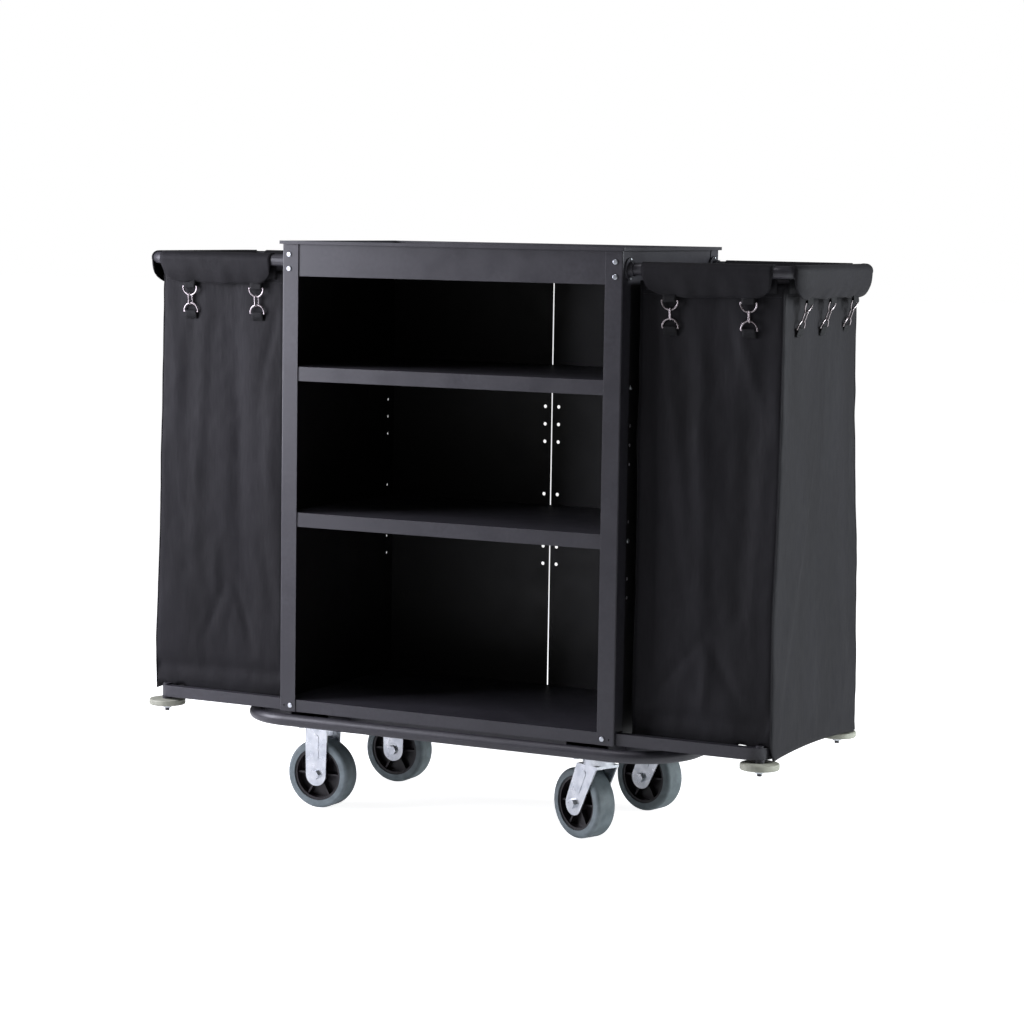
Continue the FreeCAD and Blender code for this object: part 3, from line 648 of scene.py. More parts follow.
@dataclass(frozen=True)
class Loop:
    """Where the tube loop and rail put a bag, read from the frame."""

    tube_r: float
    tube_z: float
    tube_x: float
    tube_y: float
    rail_top: float
    rail_x: float

    @classmethod
    def at(cls, side: Side) -> "Loop":
        """Reads the loop at one end of the cart.

        Args:
            side: which end.

        Returns:
            The places of its tube and rail.
        """
        low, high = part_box(f"bag_loop_{side.value}")
        rail_low, rail_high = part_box(f"bag_rail_{side.value}")
        r = (high.z - low.z) / 2
        reach = max(abs(low.x), abs(high.x))
        return cls(r, (high.z + low.z) / 2, reach - r, high.y - r, rail_high.z,
                   max(abs(rail_low.x), abs(rail_high.x)))


@dataclass
class LaundryBag:
    """One laundry bag: shell, flaps, tabs, seams and stitches."""

    side: Side
    folds: tuple[Fold, ...]
    wanders: tuple[Wander, ...]
    ear_lift: float                 # how far the front ear stops short of the skirt's full reach
    slide: float                    # how far out along the tube the side flaps have slid
    cloth: bpy.types.Material
    webbing: bpy.types.Material
    thread: bpy.types.Material
    seed: float
    corner_r: float = 0.009
    cloth_t: float = 0.0013
    flap_t: float = 0.0021
    tube_gap: float = 0.002         # wall to tube
    rail_gap: float = 0.002         # floor over rail
    rail_width: float = 0.020
    rail_lap: float = 0.012         # over which the side walls' edge climbs onto the rail
    over_rail: float = 0.001        # that edge over the rail
    slit_from_rail: float = 0.040   # where the hem rises, so that light shows inside the rail
    slit_half: float = 0.015
    slit_left: float = 0.0004       # hem left below the floor there
    hem_hang: float = 0.010         # side walls below the floor, inside the rail
    skirt_reach: float = 0.006      # end wall beyond the rail
    ear_drop: float = 0.010         # the end wall's two corners below its middle
    ear_flare: float = 0.002        # ears outwards
    ear_height: float = 0.030       # over which they flare
    ear_part: float = 0.2           # of the half width, at each side
    ear_side: float = 0.7           # share of the flare that goes sideways too
    wall_slack: float = 0.006       # how far a wall draws in at its middle
    fold_fade: float = 0.030        # folds fade out this near a corner
    held: float = 0.050             # crumples fade out this near the mouth and the skirt
    roll_height: float = 0.045      # crease above the floor
    roll_half: float = 0.016
    roll_depth: float = 0.004
    inner_slack: float = 0.008      # the most that the inner wall comes towards the cabinet
    hem_height: float = 0.024
    hem_swell: float = 0.0008       # doubled cloth of the mouth's hem
    mouth_drop: float = 0.010       # mouth below the tube
    tube_bend: float = 0.050        # centre line radius of the loop's bends
    flap_corner: float = 0.050
    flap_lap: float = 0.004         # flap's foot over the hem's lower edge
    wrap_gap: float = 0.0004        # flap off the tube
    least_fall: float = 0.06        # share of the hanging length left at a flap's round corner
    side_bulge: float = 0.003       # how far the side flaps' hanging part stands out
    end_bulge: float = 0.005
    side_flap_start: float = 0.033  # from the cabinet's end
    past_bend: float = 0.0025       # side flaps beyond the start of the tube's bend
    round_bend: float = 0.042       # end flap beyond the start of the bend, along the tube
    flange_t: float = 0.004
    stitch_up: float = 0.007        # stitch row above a flap's lower edge
    stitch_pitch: float = 0.0052
    stitch_length: float = 0.0036
    stitch_r: float = 0.00055       # thicker than real thread, so that it shows
    stitch_sides: int = 6
    flap_stitch_out: float = 0.0003     # middle of the thread off the cloth's face
    hem_stitch_out: float = 0.0004
    seam_r: float = 0.0013
    seam_out: float = 0.0009
    seam_sides: int = 8
    wire_r: float = 0.00175
    tab_drop: float = 0.009         # flap's lower edge to the upper ring's bar
    tab_width: float = 0.030
    tab_t: float = 0.0011
    tab_gap: float = 0.0003         # webbing off the bar
    tail_gap: float = 0.0002        # half the gap between the tail's two layers
    tab_tuck: float = 0.010         # an upper tab's tail above the flap's lower edge
    lower_tail: float = 0.016
    lower_hug: float = 0.3          # a lower tab's inner layer lies against the wall
    lower_seat: float = 0.0034      # its tail is sewn to the wall behind the bar
    step: float = 0.008
    row_step: float = 0.009
    floor_rows: int = 7
    floor_reach: float = 0.94       # how far in towards its middle the floor's rings go
    floor_inset: float = 0.985
    floor_lift: float = 0.004
    floor_sag: float = 0.012

    def __post_init__(self) -> None:
        """Reads the places that the frame gives."""
        self.loop = Loop.at(self.side)
        low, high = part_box(f"bag_{self.side.value}")
        self.inner_x = min(abs(low.x), abs(high.x)) + self.cloth_t
        self.outer_x = self.loop.rail_x + self.skirt_reach
        self.half_y = self.loop.tube_y - self.loop.tube_r - self.tube_gap
        self.floor_z = self.loop.rail_top + self.rail_gap
        self.mouth_z = self.loop.tube_z - self.loop.tube_r - self.mouth_drop
        self.skirt_z = low.z
        self.bars = self.ring_bars()
        self.flap_z = min(bar.centre.z for bar in self.bars if bar.upper) + self.tab_drop
        length = self.outer_x - self.inner_x
        self.wall_spans = {Wall.FRONT: length, Wall.BACK: length, Wall.END: 2 * self.half_y,
                           Wall.INNER: 2 * self.half_y}

    def ring_bars(self) -> list[RingBar]:
        """Reads the bar of every D-ring from the frame.

        Returns:
            The bars, upper and lower.
        """
        solids = islands(f"bag_rings_{self.side.value}")
        middle_z = sum(low.z + high.z for low, high in solids) / (2 * len(solids))
        bars = []
        for low, high in solids:
            centre = (low + high) / 2
            upper = centre.z > middle_z
            if high.x - low.x > high.y - low.y:
                along, out = Vector((1, 0, 0)), Vector((0, math.copysign(1, centre.y), 0))
            else:
                along, out = Vector((0, 1, 0)), Vector((self.side.sign, 0, 0))
            reach = sorted((out.dot(low), out.dot(high)))
            bar_out = reach[1] - self.wire_r if upper else reach[0] + self.wire_r
            bar_z = high.z - self.wire_r if upper else low.z + self.wire_r
            place = along * along.dot(centre) + out * bar_out + Vector((0, 0, bar_z))
            bars.append(RingBar(place, along, out, upper))
        return bars

    # ------------------------------------------------ shell
    def plan(self) -> list[Column]:
        """The bag's outline from above, from the inner front corner outwards and round.

        Returns:
            The columns of the shell, with two slanted ones on each corner.
        """
        r = self.corner_r
        x0, x1, y = self.inner_x, self.outer_x, self.half_y
        columns = []
        runs = (
            (Wall.FRONT, (x0 + r, -y), (x1 - r, -y), (0, -1), (x1 - r, -y + r), -90),
            (Wall.END, (x1, -y + r), (x1, y - r), (1, 0), (x1 - r, y - r), 0),
            (Wall.BACK, (x1 - r, y), (x0 + r, y), (0, 1), (x0 + r, y - r), 90),
            (Wall.INNER, (x0, y - r), (x0, -y + r), (-1, 0), (x0 + r, -y + r), 180),
        )
        for wall, start, end, normal, centre, angle in runs:
            count = round(math.dist(start, end) / self.step)
            for i in range(count + 1):
                t = i / count
                place = [a + t * (b - a) for a, b in zip(start, end)]
                columns.append(Column(*place, *normal, wall, self.share(wall, *place)))
            for turn in (30, 60):
                a = math.radians(angle + turn)
                out = (math.cos(a), math.sin(a))
                place = [c + r * o for c, o in zip(centre, out)]
                columns.append(Column(*place, *out, wall, self.share(wall, *place)))
        return columns

    def share(self, wall: Wall, x: float, y: float) -> float:
        """How far across a wall a point stands.

        Args:
            wall: the wall.
            x: the point's place along the cart.
            y: its place across it.

        Returns:
            The share, from 0 to 1.
        """
        if wall in (Wall.FRONT, Wall.BACK):
            return (x - self.inner_x) / (self.outer_x - self.inner_x)
        return (y + self.half_y) / (2 * self.half_y)

    def bottom_edge(self, x: float, y: float) -> float:
        """Height of the shell's lower edge over a point of its outline.

        The end wall hangs outside the rail with its two corners drawn down into ears, and the front
        and back walls stop over the rail.

        Args:
            x: the point's place along the cart.
            y: its place across it.

        Returns:
            The height, in metres.
        """
        along = y / self.half_y
        lift = self.ear_lift * smooth_step(0.5 - along)
        end_edge = self.skirt_z + lift + self.ear_drop * (1 - along * along)
        bar = self.loop.rail_x - self.rail_width
        over_bar = smooth_step((x - bar + self.rail_lap) / self.rail_lap)
        past_rail = smooth_step((x - self.loop.rail_x) / (self.outer_x - self.loop.rail_x))
        slit = (self.hem_hang - self.slit_left) * math.exp(
            -((x - bar + self.slit_from_rail) / self.slit_half) ** 4)
        side_edge = self.floor_z + (-self.hem_hang + slit) * (1 - over_bar) + self.over_rail * over_bar
        return float(past_rail * end_edge + (1 - past_rail) * side_edge)

    def corner_push(self, x: np.ndarray, y: np.ndarray, z: np.ndarray) -> tuple[np.ndarray, np.ndarray]:
        """How far the two outer corners' wander carries each point.

        Args:
            x: each point's place along the cart.
            y: each point's place across it.
            z: each point's height.

        Returns:
            The shift along x and along y.
        """
        outward = (x - self.inner_x) / (self.outer_x - self.inner_x)
        front = np.clip(0.5 - y / (2 * self.half_y), 0, 1)
        dx = np.zeros_like(x)
        dy = np.zeros_like(x)
        for wander in self.wanders:
            near = 1 - front if wander.back else front
            bump = wander.out * np.exp(-((z - wander.height) / wander.spread) ** 2)
            dx += bump * near * outward
            dy += bump * (1 - 2 * front) * outward
        return dx, dy

    def shell_points(self, columns: list[Column]) -> np.ndarray:
        """Places of the shell's vertices.

        Args:
            columns: the bag's outline.

        Returns:
            Rings of points, first the floor's from its middle outwards, then the walls' upwards.
        """
        rows = round((self.mouth_z - self.floor_z) / self.row_step)
        bottoms = np.array([self.bottom_edge(c.x, c.y) for c in columns])
        walls = [self.wall_row(columns, bottoms + (self.mouth_z - bottoms) * r / rows)
                 for r in range(rows + 1)]
        centre = np.array([(self.inner_x + self.outer_x) / 2, 0.0])
        edge = walls[1][:, :2]
        floor = []
        for r in range(self.floor_rows, 0, -1):
            scale = 1 - (r / self.floor_rows) * self.floor_reach
            sag = self.floor_sag * (1 - scale ** 2)
            flat = centre + (edge - centre) * scale * self.floor_inset
            floor.append(np.column_stack([flat, np.full(len(flat), self.floor_z + self.floor_lift - sag)]))
        return np.array(floor + walls)

    def wall_push(self, wall: Wall, shares: np.ndarray, z: np.ndarray) -> np.ndarray:
        """How far a wall's folds and slack push it outwards.

        Args:
            wall: the wall.
            shares: how far across it each point stands.
            z: each point's height.

        Returns:
            The push, in metres, which fades out at the wall's two edges.
        """
        span = self.wall_spans[wall]
        across = shares * span
        push = np.zeros(len(z))
        for fold in self.folds:
            if fold.wall is wall:
                push += fold.push(across, z, span)
        up = np.clip((z - self.floor_z) / (self.mouth_z - self.floor_z), 0, 1)
        push -= self.wall_slack * np.sin(math.pi * shares) * np.sin(math.pi * up)
        return push * smooth_step(np.minimum(across, span - across) / self.fold_fade)

    def wall_row(self, columns: list[Column], z: np.ndarray) -> np.ndarray:
        """One ring of the walls.

        Args:
            columns: the bag's outline.
            z: each column's height on this ring.

        Returns:
            The ring's points.
        """
        x, y, nx, ny, shares = np.array([(c.x, c.y, c.nx, c.ny, c.share) for c in columns]).T
        push = np.zeros(len(x))
        for wall in Wall:
            mine = np.array([c.wall is wall for c in columns])
            push[mine] = self.wall_push(wall, shares[mine], z[mine])
        free = smooth_step((self.mouth_z - z) / self.held) * smooth_step((z - self.skirt_z) / self.held)
        crumples = SOFT_CRUMPLE.push(x, y, z, (self.seed, 0)) + FINE_CRUMPLE.push(x, y, z, (0, self.seed))
        roll = self.roll_depth * np.exp(-((z - self.floor_z - self.roll_height) / self.roll_half) ** 2)
        push += crumples * free + (z > self.mouth_z - self.hem_height) * self.hem_swell
        push -= roll * (np.abs(ny) > 0.9)
        dx, dy = self.corner_push(x, y, z)
        near_end = x > self.outer_x - self.corner_r * 1.5
        low = smooth_step((self.floor_z - z) / self.ear_height)
        edge = np.clip(np.abs(y) / self.half_y - (1 - self.ear_part), 0, self.ear_part) / self.ear_part
        ear = self.ear_flare * low * near_end * edge
        px = x + nx * push + dx + ear
        py = y + ny * push + dy + np.sign(y) * ear * self.ear_side
        return np.column_stack([np.maximum(px, self.inner_x - self.inner_slack), py, z])

    def build_shell(self) -> bpy.types.Object:
        """The cloth shell: four walls and a floor in one piece.

        Returns:
            The shell.
        """
        rings = self.shell_points(self.plan())
        rows, columns, _ = rings.shape
        rings[:, :, 0] *= self.side.sign
        faces = grid_faces(rows, columns, True, self.side is Side.LEFT)
        first = tuple(range(columns))
        faces.append(first if self.side is Side.LEFT else first[::-1])
        shell = mesh_object(f"bag_shell_{self.side.value}", rings.reshape(-1, 3), faces, self.cloth)
        thicken(shell, self.cloth_t)
        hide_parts(f"bag_{self.side.value}")
        return shell

    # ------------------------------------------------ flaps
    def flap_head(self, offset: float, leave: float) -> list[tuple[float, float]]:
        """A flap's section from the wall's hem and over the tube, as (outward, up) from the tube.

        Args:
            offset: how far the wall stands inside the tube's centre line.
            leave: angle about the tube at which the cloth leaves it.

        Returns:
            The points of the section.
        """
        r = self.wrap_r
        in_wall = -offset + self.cloth_t + self.flap_t / 2
        foot = (in_wall, self.mouth_z - self.hem_height + self.flap_lap - self.loop.tube_z)
        top = (in_wall, self.mouth_z - self.loop.tube_z)
        meet = math.atan2(top[1], top[0]) - math.acos(min(1.0, r / math.hypot(*top)))
        meet %= 2 * math.pi
        steps = 16
        arc = [meet + (leave - meet) * i / steps for i in range(steps + 1)]
        return [foot, top] + [(r * math.cos(a), r * math.sin(a)) for a in arc]

    @property
    def wrap_r(self) -> float:
        """Radius at which the middle of a flap's cloth goes round the tube."""
        return self.loop.tube_r + self.wrap_gap + self.flap_t / 2

    def tube_place(self, s: float, straight: float) -> tuple[float, float, float]:
        """Where the tube's centre line runs, s along it from the middle of a straight stretch.

        Args:
            s: distance along the tube.
            straight: half the length of the straight stretch, after which the tube bends.

        Returns:
            Distance along the stretch, distance inwards from it, and the angle turned.
        """
        turn = max(0.0, abs(s) - straight) / self.tube_bend
        along = min(abs(s), straight) + self.tube_bend * math.sin(turn)
        return math.copysign(along, s), self.tube_bend * (1 - math.cos(turn)), math.copysign(turn, s)

    def flap_fall(self, edge_u: float) -> tuple[float, float]:
        """How a flap leaves the tube for its lower edge.

        Args:
            edge_u: how far outside the tube's centre line the lower edge hangs.

        Returns:
            The angle about the tube at which it leaves, and the length that hangs free.
        """
        fall = self.loop.tube_z - self.flap_z
        reach = math.hypot(edge_u, fall)
        leave = math.atan2(-fall, edge_u) + math.acos(self.wrap_r / reach)
        return leave, math.sqrt(reach ** 2 - self.wrap_r ** 2)

    def flap_tail(self, start: tuple[float, float], leave: float, hang: float, cut: float, bulge: float,
                  s: float) -> list[tuple[float, float]]:
        """A flap's section from the tube down to its lower edge, as (outward, up) from the tube.

        Args:
            start: where it leaves the tube.
            leave: the angle about the tube there.
            hang: the length that hangs free at the flap's middle.
            cut: how much the round corner takes off that length here.
            bulge: how far the hanging part stands out.
            s: place along the flap.

        Returns:
            The points of the section.
        """
        falls = 10
        wave = sum(ripple.at(s, self.seed) for ripple in RIPPLES_OUT)
        tail = []
        for j in range(1, falls + 1):
            t = j / falls * max(self.least_fall, 1 - cut / hang)
            stand = bulge * math.sin(math.pi * t) + wave * t
            tail.append((start[0] + t * hang * math.sin(leave) + stand * math.cos(leave),
                         start[1] - t * hang * math.cos(leave) + stand * math.sin(leave)
                         + RIPPLE_UP.at(s, self.seed) * t))
        return tail

    def build_flap(self, name: str, middle: Vector, along: Vector, outward: Vector, length: float,
                   straight: float, bulge: float) -> bpy.types.Object:
        """One flap over the tube, with its stitching.

        Args:
            name: the piece's name.
            middle: the tube's centre at the middle of the flap.
            along: unit vector along the tube.
            outward: unit vector away from the bag.
            length: the flap's width along the tube.
            straight: half the length of the tube's straight stretch.
            bulge: how far the hanging part stands out.

        Returns:
            The flap.
        """
        gap = outward.dot(middle) - (self.outer_x if abs(outward.x) > 0.5 else self.half_y)
        bar = next(b for b in self.bars if b.upper and b.out.dot(outward) > 0.9)
        leave, hang = self.flap_fall((bar.centre - middle).dot(outward))
        r = self.flap_corner
        columns = round(length / self.step)
        points: list[Vector] = []
        edge = []
        for i in range(columns + 1):
            s = length * (i / columns - 0.5)
            to_edge = length / 2 - abs(s)
            cut = r - math.sqrt(r ** 2 - max(0.0, r - to_edge) ** 2)
            a, inwards, turn = self.tube_place(s, straight)
            place = middle + along * a - outward * inwards
            out = outward * math.cos(turn) + along * math.sin(turn)
            section = self.flap_head(self.tube_bend - (self.tube_bend - gap) / math.cos(turn), leave)
            section += self.flap_tail(section[-1], leave, hang, cut, bulge, s)
            points += [place + out * u + Vector((0, 0, v)) for u, v in section]
            edge.append(points[-1] + out * (self.flap_t / 2 + self.flap_stitch_out)
                        + Vector((0, 0, self.stitch_up)))
        rows = len(points) // (columns + 1)
        faces = grid_faces(columns + 1, rows, False, along.cross(outward).z < 0)
        flap = mesh_object(name, points, faces, self.cloth)
        thicken(flap, self.flap_t)
        head = self.flap_head(gap, leave)
        stitches = self.stitch_row(name + "_stitches", edge[1:-1], outward)
        return flap

    def stitch_row(self, name: str, line: list[Vector], outward: Vector) -> bpy.types.Object:
        """A row of sewn stitches along a line.

        Args:
            name: the piece's name.
            line: the points that the row follows.
            outward: unit vector away from the cloth.

        Returns:
            The stitches, as one piece.
        """
        points: list[Vector] = []
        faces: list[tuple[int, ...]] = []
        turns = [2 * math.pi * k / self.stitch_sides for k in range(self.stitch_sides)]
        tapered = ((0, 0.35), (0.25, 1), (0.75, 1), (1, 0.35))  # share of its length, and of its radius
        walked = 0.0
        for a, b in zip(line, line[1:]):
            run = (b - a).length
            way = (b - a) / max(run, 1e-9)
            side = way.cross(outward).normalized()
            while walked < run:
                start = a + way * walked
                add_rod(points, faces, [
                    [start + way * (self.stitch_length * share)
                     + (side * math.cos(turn) + outward * math.sin(turn)) * self.stitch_r * size
                     for turn in turns] for share, size in tapered])
                walked += self.stitch_pitch
            walked -= run
        return mesh_object(name, points, faces, self.thread)

    def build_flaps(self) -> list[bpy.types.Object]:
        """The front, back and end flaps.

        Returns:
            The three flaps.
        """
        sign = self.side.sign
        cabinet_end = min(abs(c.x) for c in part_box(f"bag_loop_{self.side.value}")) - self.flange_t
        start = cabinet_end + self.side_flap_start
        straight_end = self.loop.tube_x - self.tube_bend
        end = straight_end + self.past_bend
        made = []
        for name, y in (("front", -1), ("back", 1)):
            middle_x = (start + end) / 2 + self.slide
            middle = Vector((sign * middle_x, y * self.loop.tube_y, self.loop.tube_z))
            made.append(self.build_flap(
                f"bag_flap_{name}_{self.side.value}", middle, Vector((sign, 0, 0)), Vector((0, y, 0)),
                end - start, straight_end - start, self.side_bulge))
        straight = self.loop.tube_y - self.tube_bend
        made.append(self.build_flap(
            f"bag_flap_end_{self.side.value}", Vector((sign * self.loop.tube_x, 0, self.loop.tube_z)),
            Vector((0, 1, 0)), Vector((sign, 0, 0)), 2 * (straight + self.round_bend), straight,
            self.end_bulge))
        return made

    # ------------------------------------------------ tabs
    def build_tabs(self) -> bpy.types.Object:
        """Webbing tabs that hold every D-ring's bar.

        Returns:
            The tabs, as one piece.
        """
        points: list[Vector] = []
        faces: list[tuple[int, ...]] = []
        for bar in self.bars:
            self.add_tab(points, faces, bar)
        return mesh_object(f"bag_ring_tabs_{self.side.value}", points, faces, self.webbing)

    def tab_section(self, upper: bool) -> list[tuple[float, float]]:
        """A webbing loop's section, as (outward, up) from the bar that it holds.

        Args:
            upper: whether it hangs from a flap rather than from the wall.

        Returns:
            The points of its outer skin, then those of its inner skin backwards.
        """
        up = 1 if upper else -1
        tail = self.tab_drop + self.tab_tuck if upper else self.lower_tail
        hug = 1.0 if upper else self.lower_hug
        seat = 0.0 if upper else -self.lower_seat
        neck_up, neck_seat = up * tail * 0.35, seat * 0.4   # where the two layers part round the bar
        section = []
        for thick in (self.tab_t, 0.0):
            r = self.wire_r + self.tab_gap + thick
            flat = self.tail_gap + thick
            neck = max(flat, r * 0.75)
            run = [(seat + flat, up * tail), (neck_seat + neck, neck_up)]
            for k in range(9):
                a = math.pi * k / 8
                run.append((r * math.cos(a), -up * r * math.sin(a)))
            run += [(neck_seat - neck * hug, neck_up), (seat - flat * hug, up * tail)]
            section += run if thick else run[::-1]
        return section

    def add_tab(self, points: list[Vector], faces: list[tuple[int, ...]], bar: RingBar) -> None:
        """Adds one webbing loop round a bar.

        Args:
            points: the vertices so far, which it adds to.
            faces: the faces so far, which it adds to.
            bar: the bar that it holds.
        """
        section = self.tab_section(bar.upper)
        count = len(section)
        steps = 6
        base = len(points)
        for i in range(steps + 1):
            s = (i / steps - 0.5) * self.tab_width
            points += [bar.centre + bar.along * s + bar.out * u + Vector((0, 0, v)) for u, v in section]
        faces += shifted(grid_faces(steps + 1, count, True, bar.upper), base)
        for cap in (tuple(range(count)), tuple(range(steps * count, (steps + 1) * count))[::-1]):
            cap = cap if bar.upper else cap[::-1]
            faces += shifted([tuple(cap[m] for m in (k, k + 1, count - 2 - k, count - 1 - k))
                              for k in range(count // 2 - 1)], base)

    # ------------------------------------------------ seams
    def build_seams(self) -> list[bpy.types.Object]:
        """A narrow piped seam up each corner, and the stitches of the mouth's hem.

        Returns:
            The seams and the stitches.
        """
        columns = self.plan()
        walls = self.shell_points(columns)[self.floor_rows:]
        sign = self.side.sign
        points: list[Vector] = []
        faces: list[tuple[int, ...]] = []
        turns = [2 * math.pi * k / self.seam_sides for k in range(self.seam_sides)]
        corners = [i for i, column in enumerate(columns) if column.slanted]
        for c in corners[::2]:
            nx, ny = columns[c].nx, columns[c].ny
            spokes = [Vector((nx * math.cos(a) - ny * math.sin(a), ny * math.cos(a) + nx * math.sin(a), 0))
                      for a in turns]
            add_rod(points, faces, [
                [Vector(row) + Vector((nx, ny, 0)) * self.seam_out + spoke * self.seam_r for spoke in spokes]
                for row in walls[:, c]])
        mirrored = [Vector((p.x * sign, p.y, p.z)) for p in points]
        if self.side is Side.LEFT:
            faces = [f[::-1] for f in faces]
        seams = mesh_object(f"bag_corner_seams_{self.side.value}", mirrored, faces, self.cloth)
        hem_row = walls[-max(2, round(self.hem_height / self.row_step)) - 1]
        line = [Vector((p[0] * sign, p[1], p[2])) for p in hem_row]
        return [seams, self.hem_stitches(line, columns)]

    def hem_stitches(self, line: list[Vector], columns: list[Column]) -> bpy.types.Object:
        """The mouth hem's stitches on the outside of the front, end and back walls.

        Args:
            line: the shell's points at the height of the hem's stitching.
            columns: the bag's outline.

        Returns:
            The stitches, as one piece.
        """
        rows = []
        for wall, out in ((Wall.FRONT, Vector((0, -1, 0))), (Wall.END, Vector((self.side.sign, 0, 0))),
                          (Wall.BACK, Vector((0, 1, 0)))):
            mine = [p + out * (self.cloth_t / 2 + self.hem_stitch_out) for p, c in zip(line, columns)
                    if c.wall is wall and not c.slanted]
            rows.append(self.stitch_row(f"bag_hem_stitches_{wall.value}_{self.side.value}", mine, out))
        bpy.ops.object.select_all(action="DESELECT")
        for row in rows:
            row.select_set(True)
        bpy.context.view_layer.objects.active = rows[0]
        bpy.ops.object.join()
        rows[0].name = f"bag_hem_stitches_{self.side.value}"
        return rows[0]

    def build(self) -> None:
        """Builds the whole bag."""
        made = [self.build_shell(), self.build_tabs()]
        made += self.build_flaps()
        made += self.build_seams()
        for piece in made:
            log.info("%s: %d faces", piece.name, len(piece.data.polygons))


RIGHT_FOLDS = (
    Fold(Wall.FRONT, (0.42, 1.18), (0.50, 0.30), 0.020, 0.0049),
    Fold(Wall.FRONT, (0.16, 1.16), (0.40, 0.55), 0.018, 0.0042),
    Fold(Wall.FRONT, (0.05, 1.10), (0.14, 0.40), 0.014, -0.0042),
    Fold(Wall.FRONT, (0.66, 1.14), (0.86, 0.92), 0.014, 0.0035),
    Fold(Wall.FRONT, (0.80, 1.00), (0.72, 0.45), 0.022, -0.0042),
    Fold(Wall.FRONT, (0.50, 0.46), (0.14, 0.33), 0.012, -0.0035),
    Fold(Wall.FRONT, (0.52, 0.46), (0.82, 0.30), 0.013, -0.0035),
    Fold(Wall.FRONT, (0.54, 0.44), (0.50, 0.28), 0.009, 0.0028),
    Fold(Wall.END, (0.10, 1.17), (0.06, 0.75), 0.018, 0.0042),
    Fold(Wall.END, (0.40, 1.16), (0.20, 0.80), 0.022, 0.0042),
    Fold(Wall.END, (0.52, 0.92), (0.08, 0.34), 0.014, 0.0049),
    Fold(Wall.END, (0.60, 1.12), (0.56, 0.50), 0.018, -0.0042),
    Fold(Wall.END, (0.82, 1.16), (0.70, 0.62), 0.022, 0.0056),
    Fold(Wall.END, (0.94, 0.98), (0.90, 0.45), 0.016, -0.0035),
    Fold(Wall.END, (0.76, 0.66), (0.86, 0.34), 0.016, 0.0028),
    Fold(Wall.BACK, (0.30, 1.16), (0.36, 0.36), 0.022, 0.0049),
    Fold(Wall.BACK, (0.68, 1.16), (0.62, 0.50), 0.020, -0.0049),
    Fold(Wall.BACK, (0.55, 0.52), (0.20, 0.30), 0.014, -0.0042),
    Fold(Wall.BACK, (0.60, 0.50), (0.88, 0.30), 0.014, -0.0042),
    Fold(Wall.INNER, (0.35, 1.10), (0.45, 0.40), 0.030, 0.0028),
)
LEFT_FOLDS = (
    Fold(Wall.FRONT, (0.40, 1.17), (0.36, 0.46), 0.016, -0.0035),
    Fold(Wall.FRONT, (0.66, 1.16), (0.72, 0.58), 0.020, 0.0035),
    Fold(Wall.FRONT, (0.06, 1.12), (0.20, 0.92), 0.011, -0.0035),
    Fold(Wall.FRONT, (0.12, 1.02), (0.10, 0.50), 0.020, 0.0035),
    Fold(Wall.FRONT, (0.90, 1.10), (0.84, 0.66), 0.020, 0.0028),
    Fold(Wall.FRONT, (0.40, 0.50), (0.24, 0.34), 0.008, -0.0042),
    Fold(Wall.FRONT, (0.46, 0.50), (0.62, 0.36), 0.008, -0.0028),
    Fold(Wall.FRONT, (0.56, 0.56), (0.52, 0.44), 0.010, 0.0028),
    Fold(Wall.FRONT, (0.20, 0.60), (0.06, 0.42), 0.014, -0.0028),
    Fold(Wall.BACK, (0.30, 1.16), (0.42, 0.40), 0.022, 0.0042),
    Fold(Wall.BACK, (0.74, 1.16), (0.60, 0.44), 0.020, -0.0042),
    Fold(Wall.END, (0.20, 1.16), (0.26, 0.40), 0.024, 0.0042),
    Fold(Wall.END, (0.50, 1.16), (0.44, 0.52), 0.020, -0.0042),
    Fold(Wall.END, (0.76, 1.14), (0.84, 0.36), 0.024, 0.0042),
    Fold(Wall.END, (0.48, 0.52), (0.14, 0.28), 0.014, -0.0042),
    Fold(Wall.INNER, (0.60, 1.10), (0.50, 0.40), 0.030, 0.0028),
)
RIGHT_WANDERS = (Wander(True, 0.018, 0.36, 0.40), Wander(False, -0.004, 0.52, 0.12))
LEFT_WANDERS = (
    Wander(False, 0.012, 0.26, 0.30), Wander(False, 0.004, 0.80, 0.30), Wander(True, 0.005, 0.60, 0.25),
)


# ---------------------------------------------------------------- studio
@dataclass(frozen=True)
class SoftBox:
    """A large soft lamp that points at the cart."""

    name: str
    azimuth: float          # degrees, 0 in front of the cart, 90 at its right
    elevation: float
    distance: float
    width: float
    height: float
    power: float
    colour: str = "#ffffff"

    def build(self, centre: Vector) -> None:
        """Places the lamp and turns it to the cart.

        Args:
            centre: the cart's centre.
        """
        a, e = math.radians(self.azimuth), math.radians(self.elevation)
        lamp = bpy.data.lights.new(self.name, "AREA")
        lamp.shape = "RECTANGLE"
        lamp.size = self.width
        lamp.size_y = self.height
        lamp.energy = self.power
        lamp.color = linear(self.colour)[:3]
        thing = bpy.data.objects.new(self.name, lamp)
        thing.visible_camera = False
        bpy.context.scene.collection.objects.link(thing)
        way = Vector((math.sin(a) * math.cos(e), -math.cos(a) * math.cos(e), math.sin(e)))
        thing.location = centre + way * self.distance
        thing.rotation_mode = "QUATERNION"
        thing.rotation_quaternion = (-way).to_track_quat("-Z", "Y")


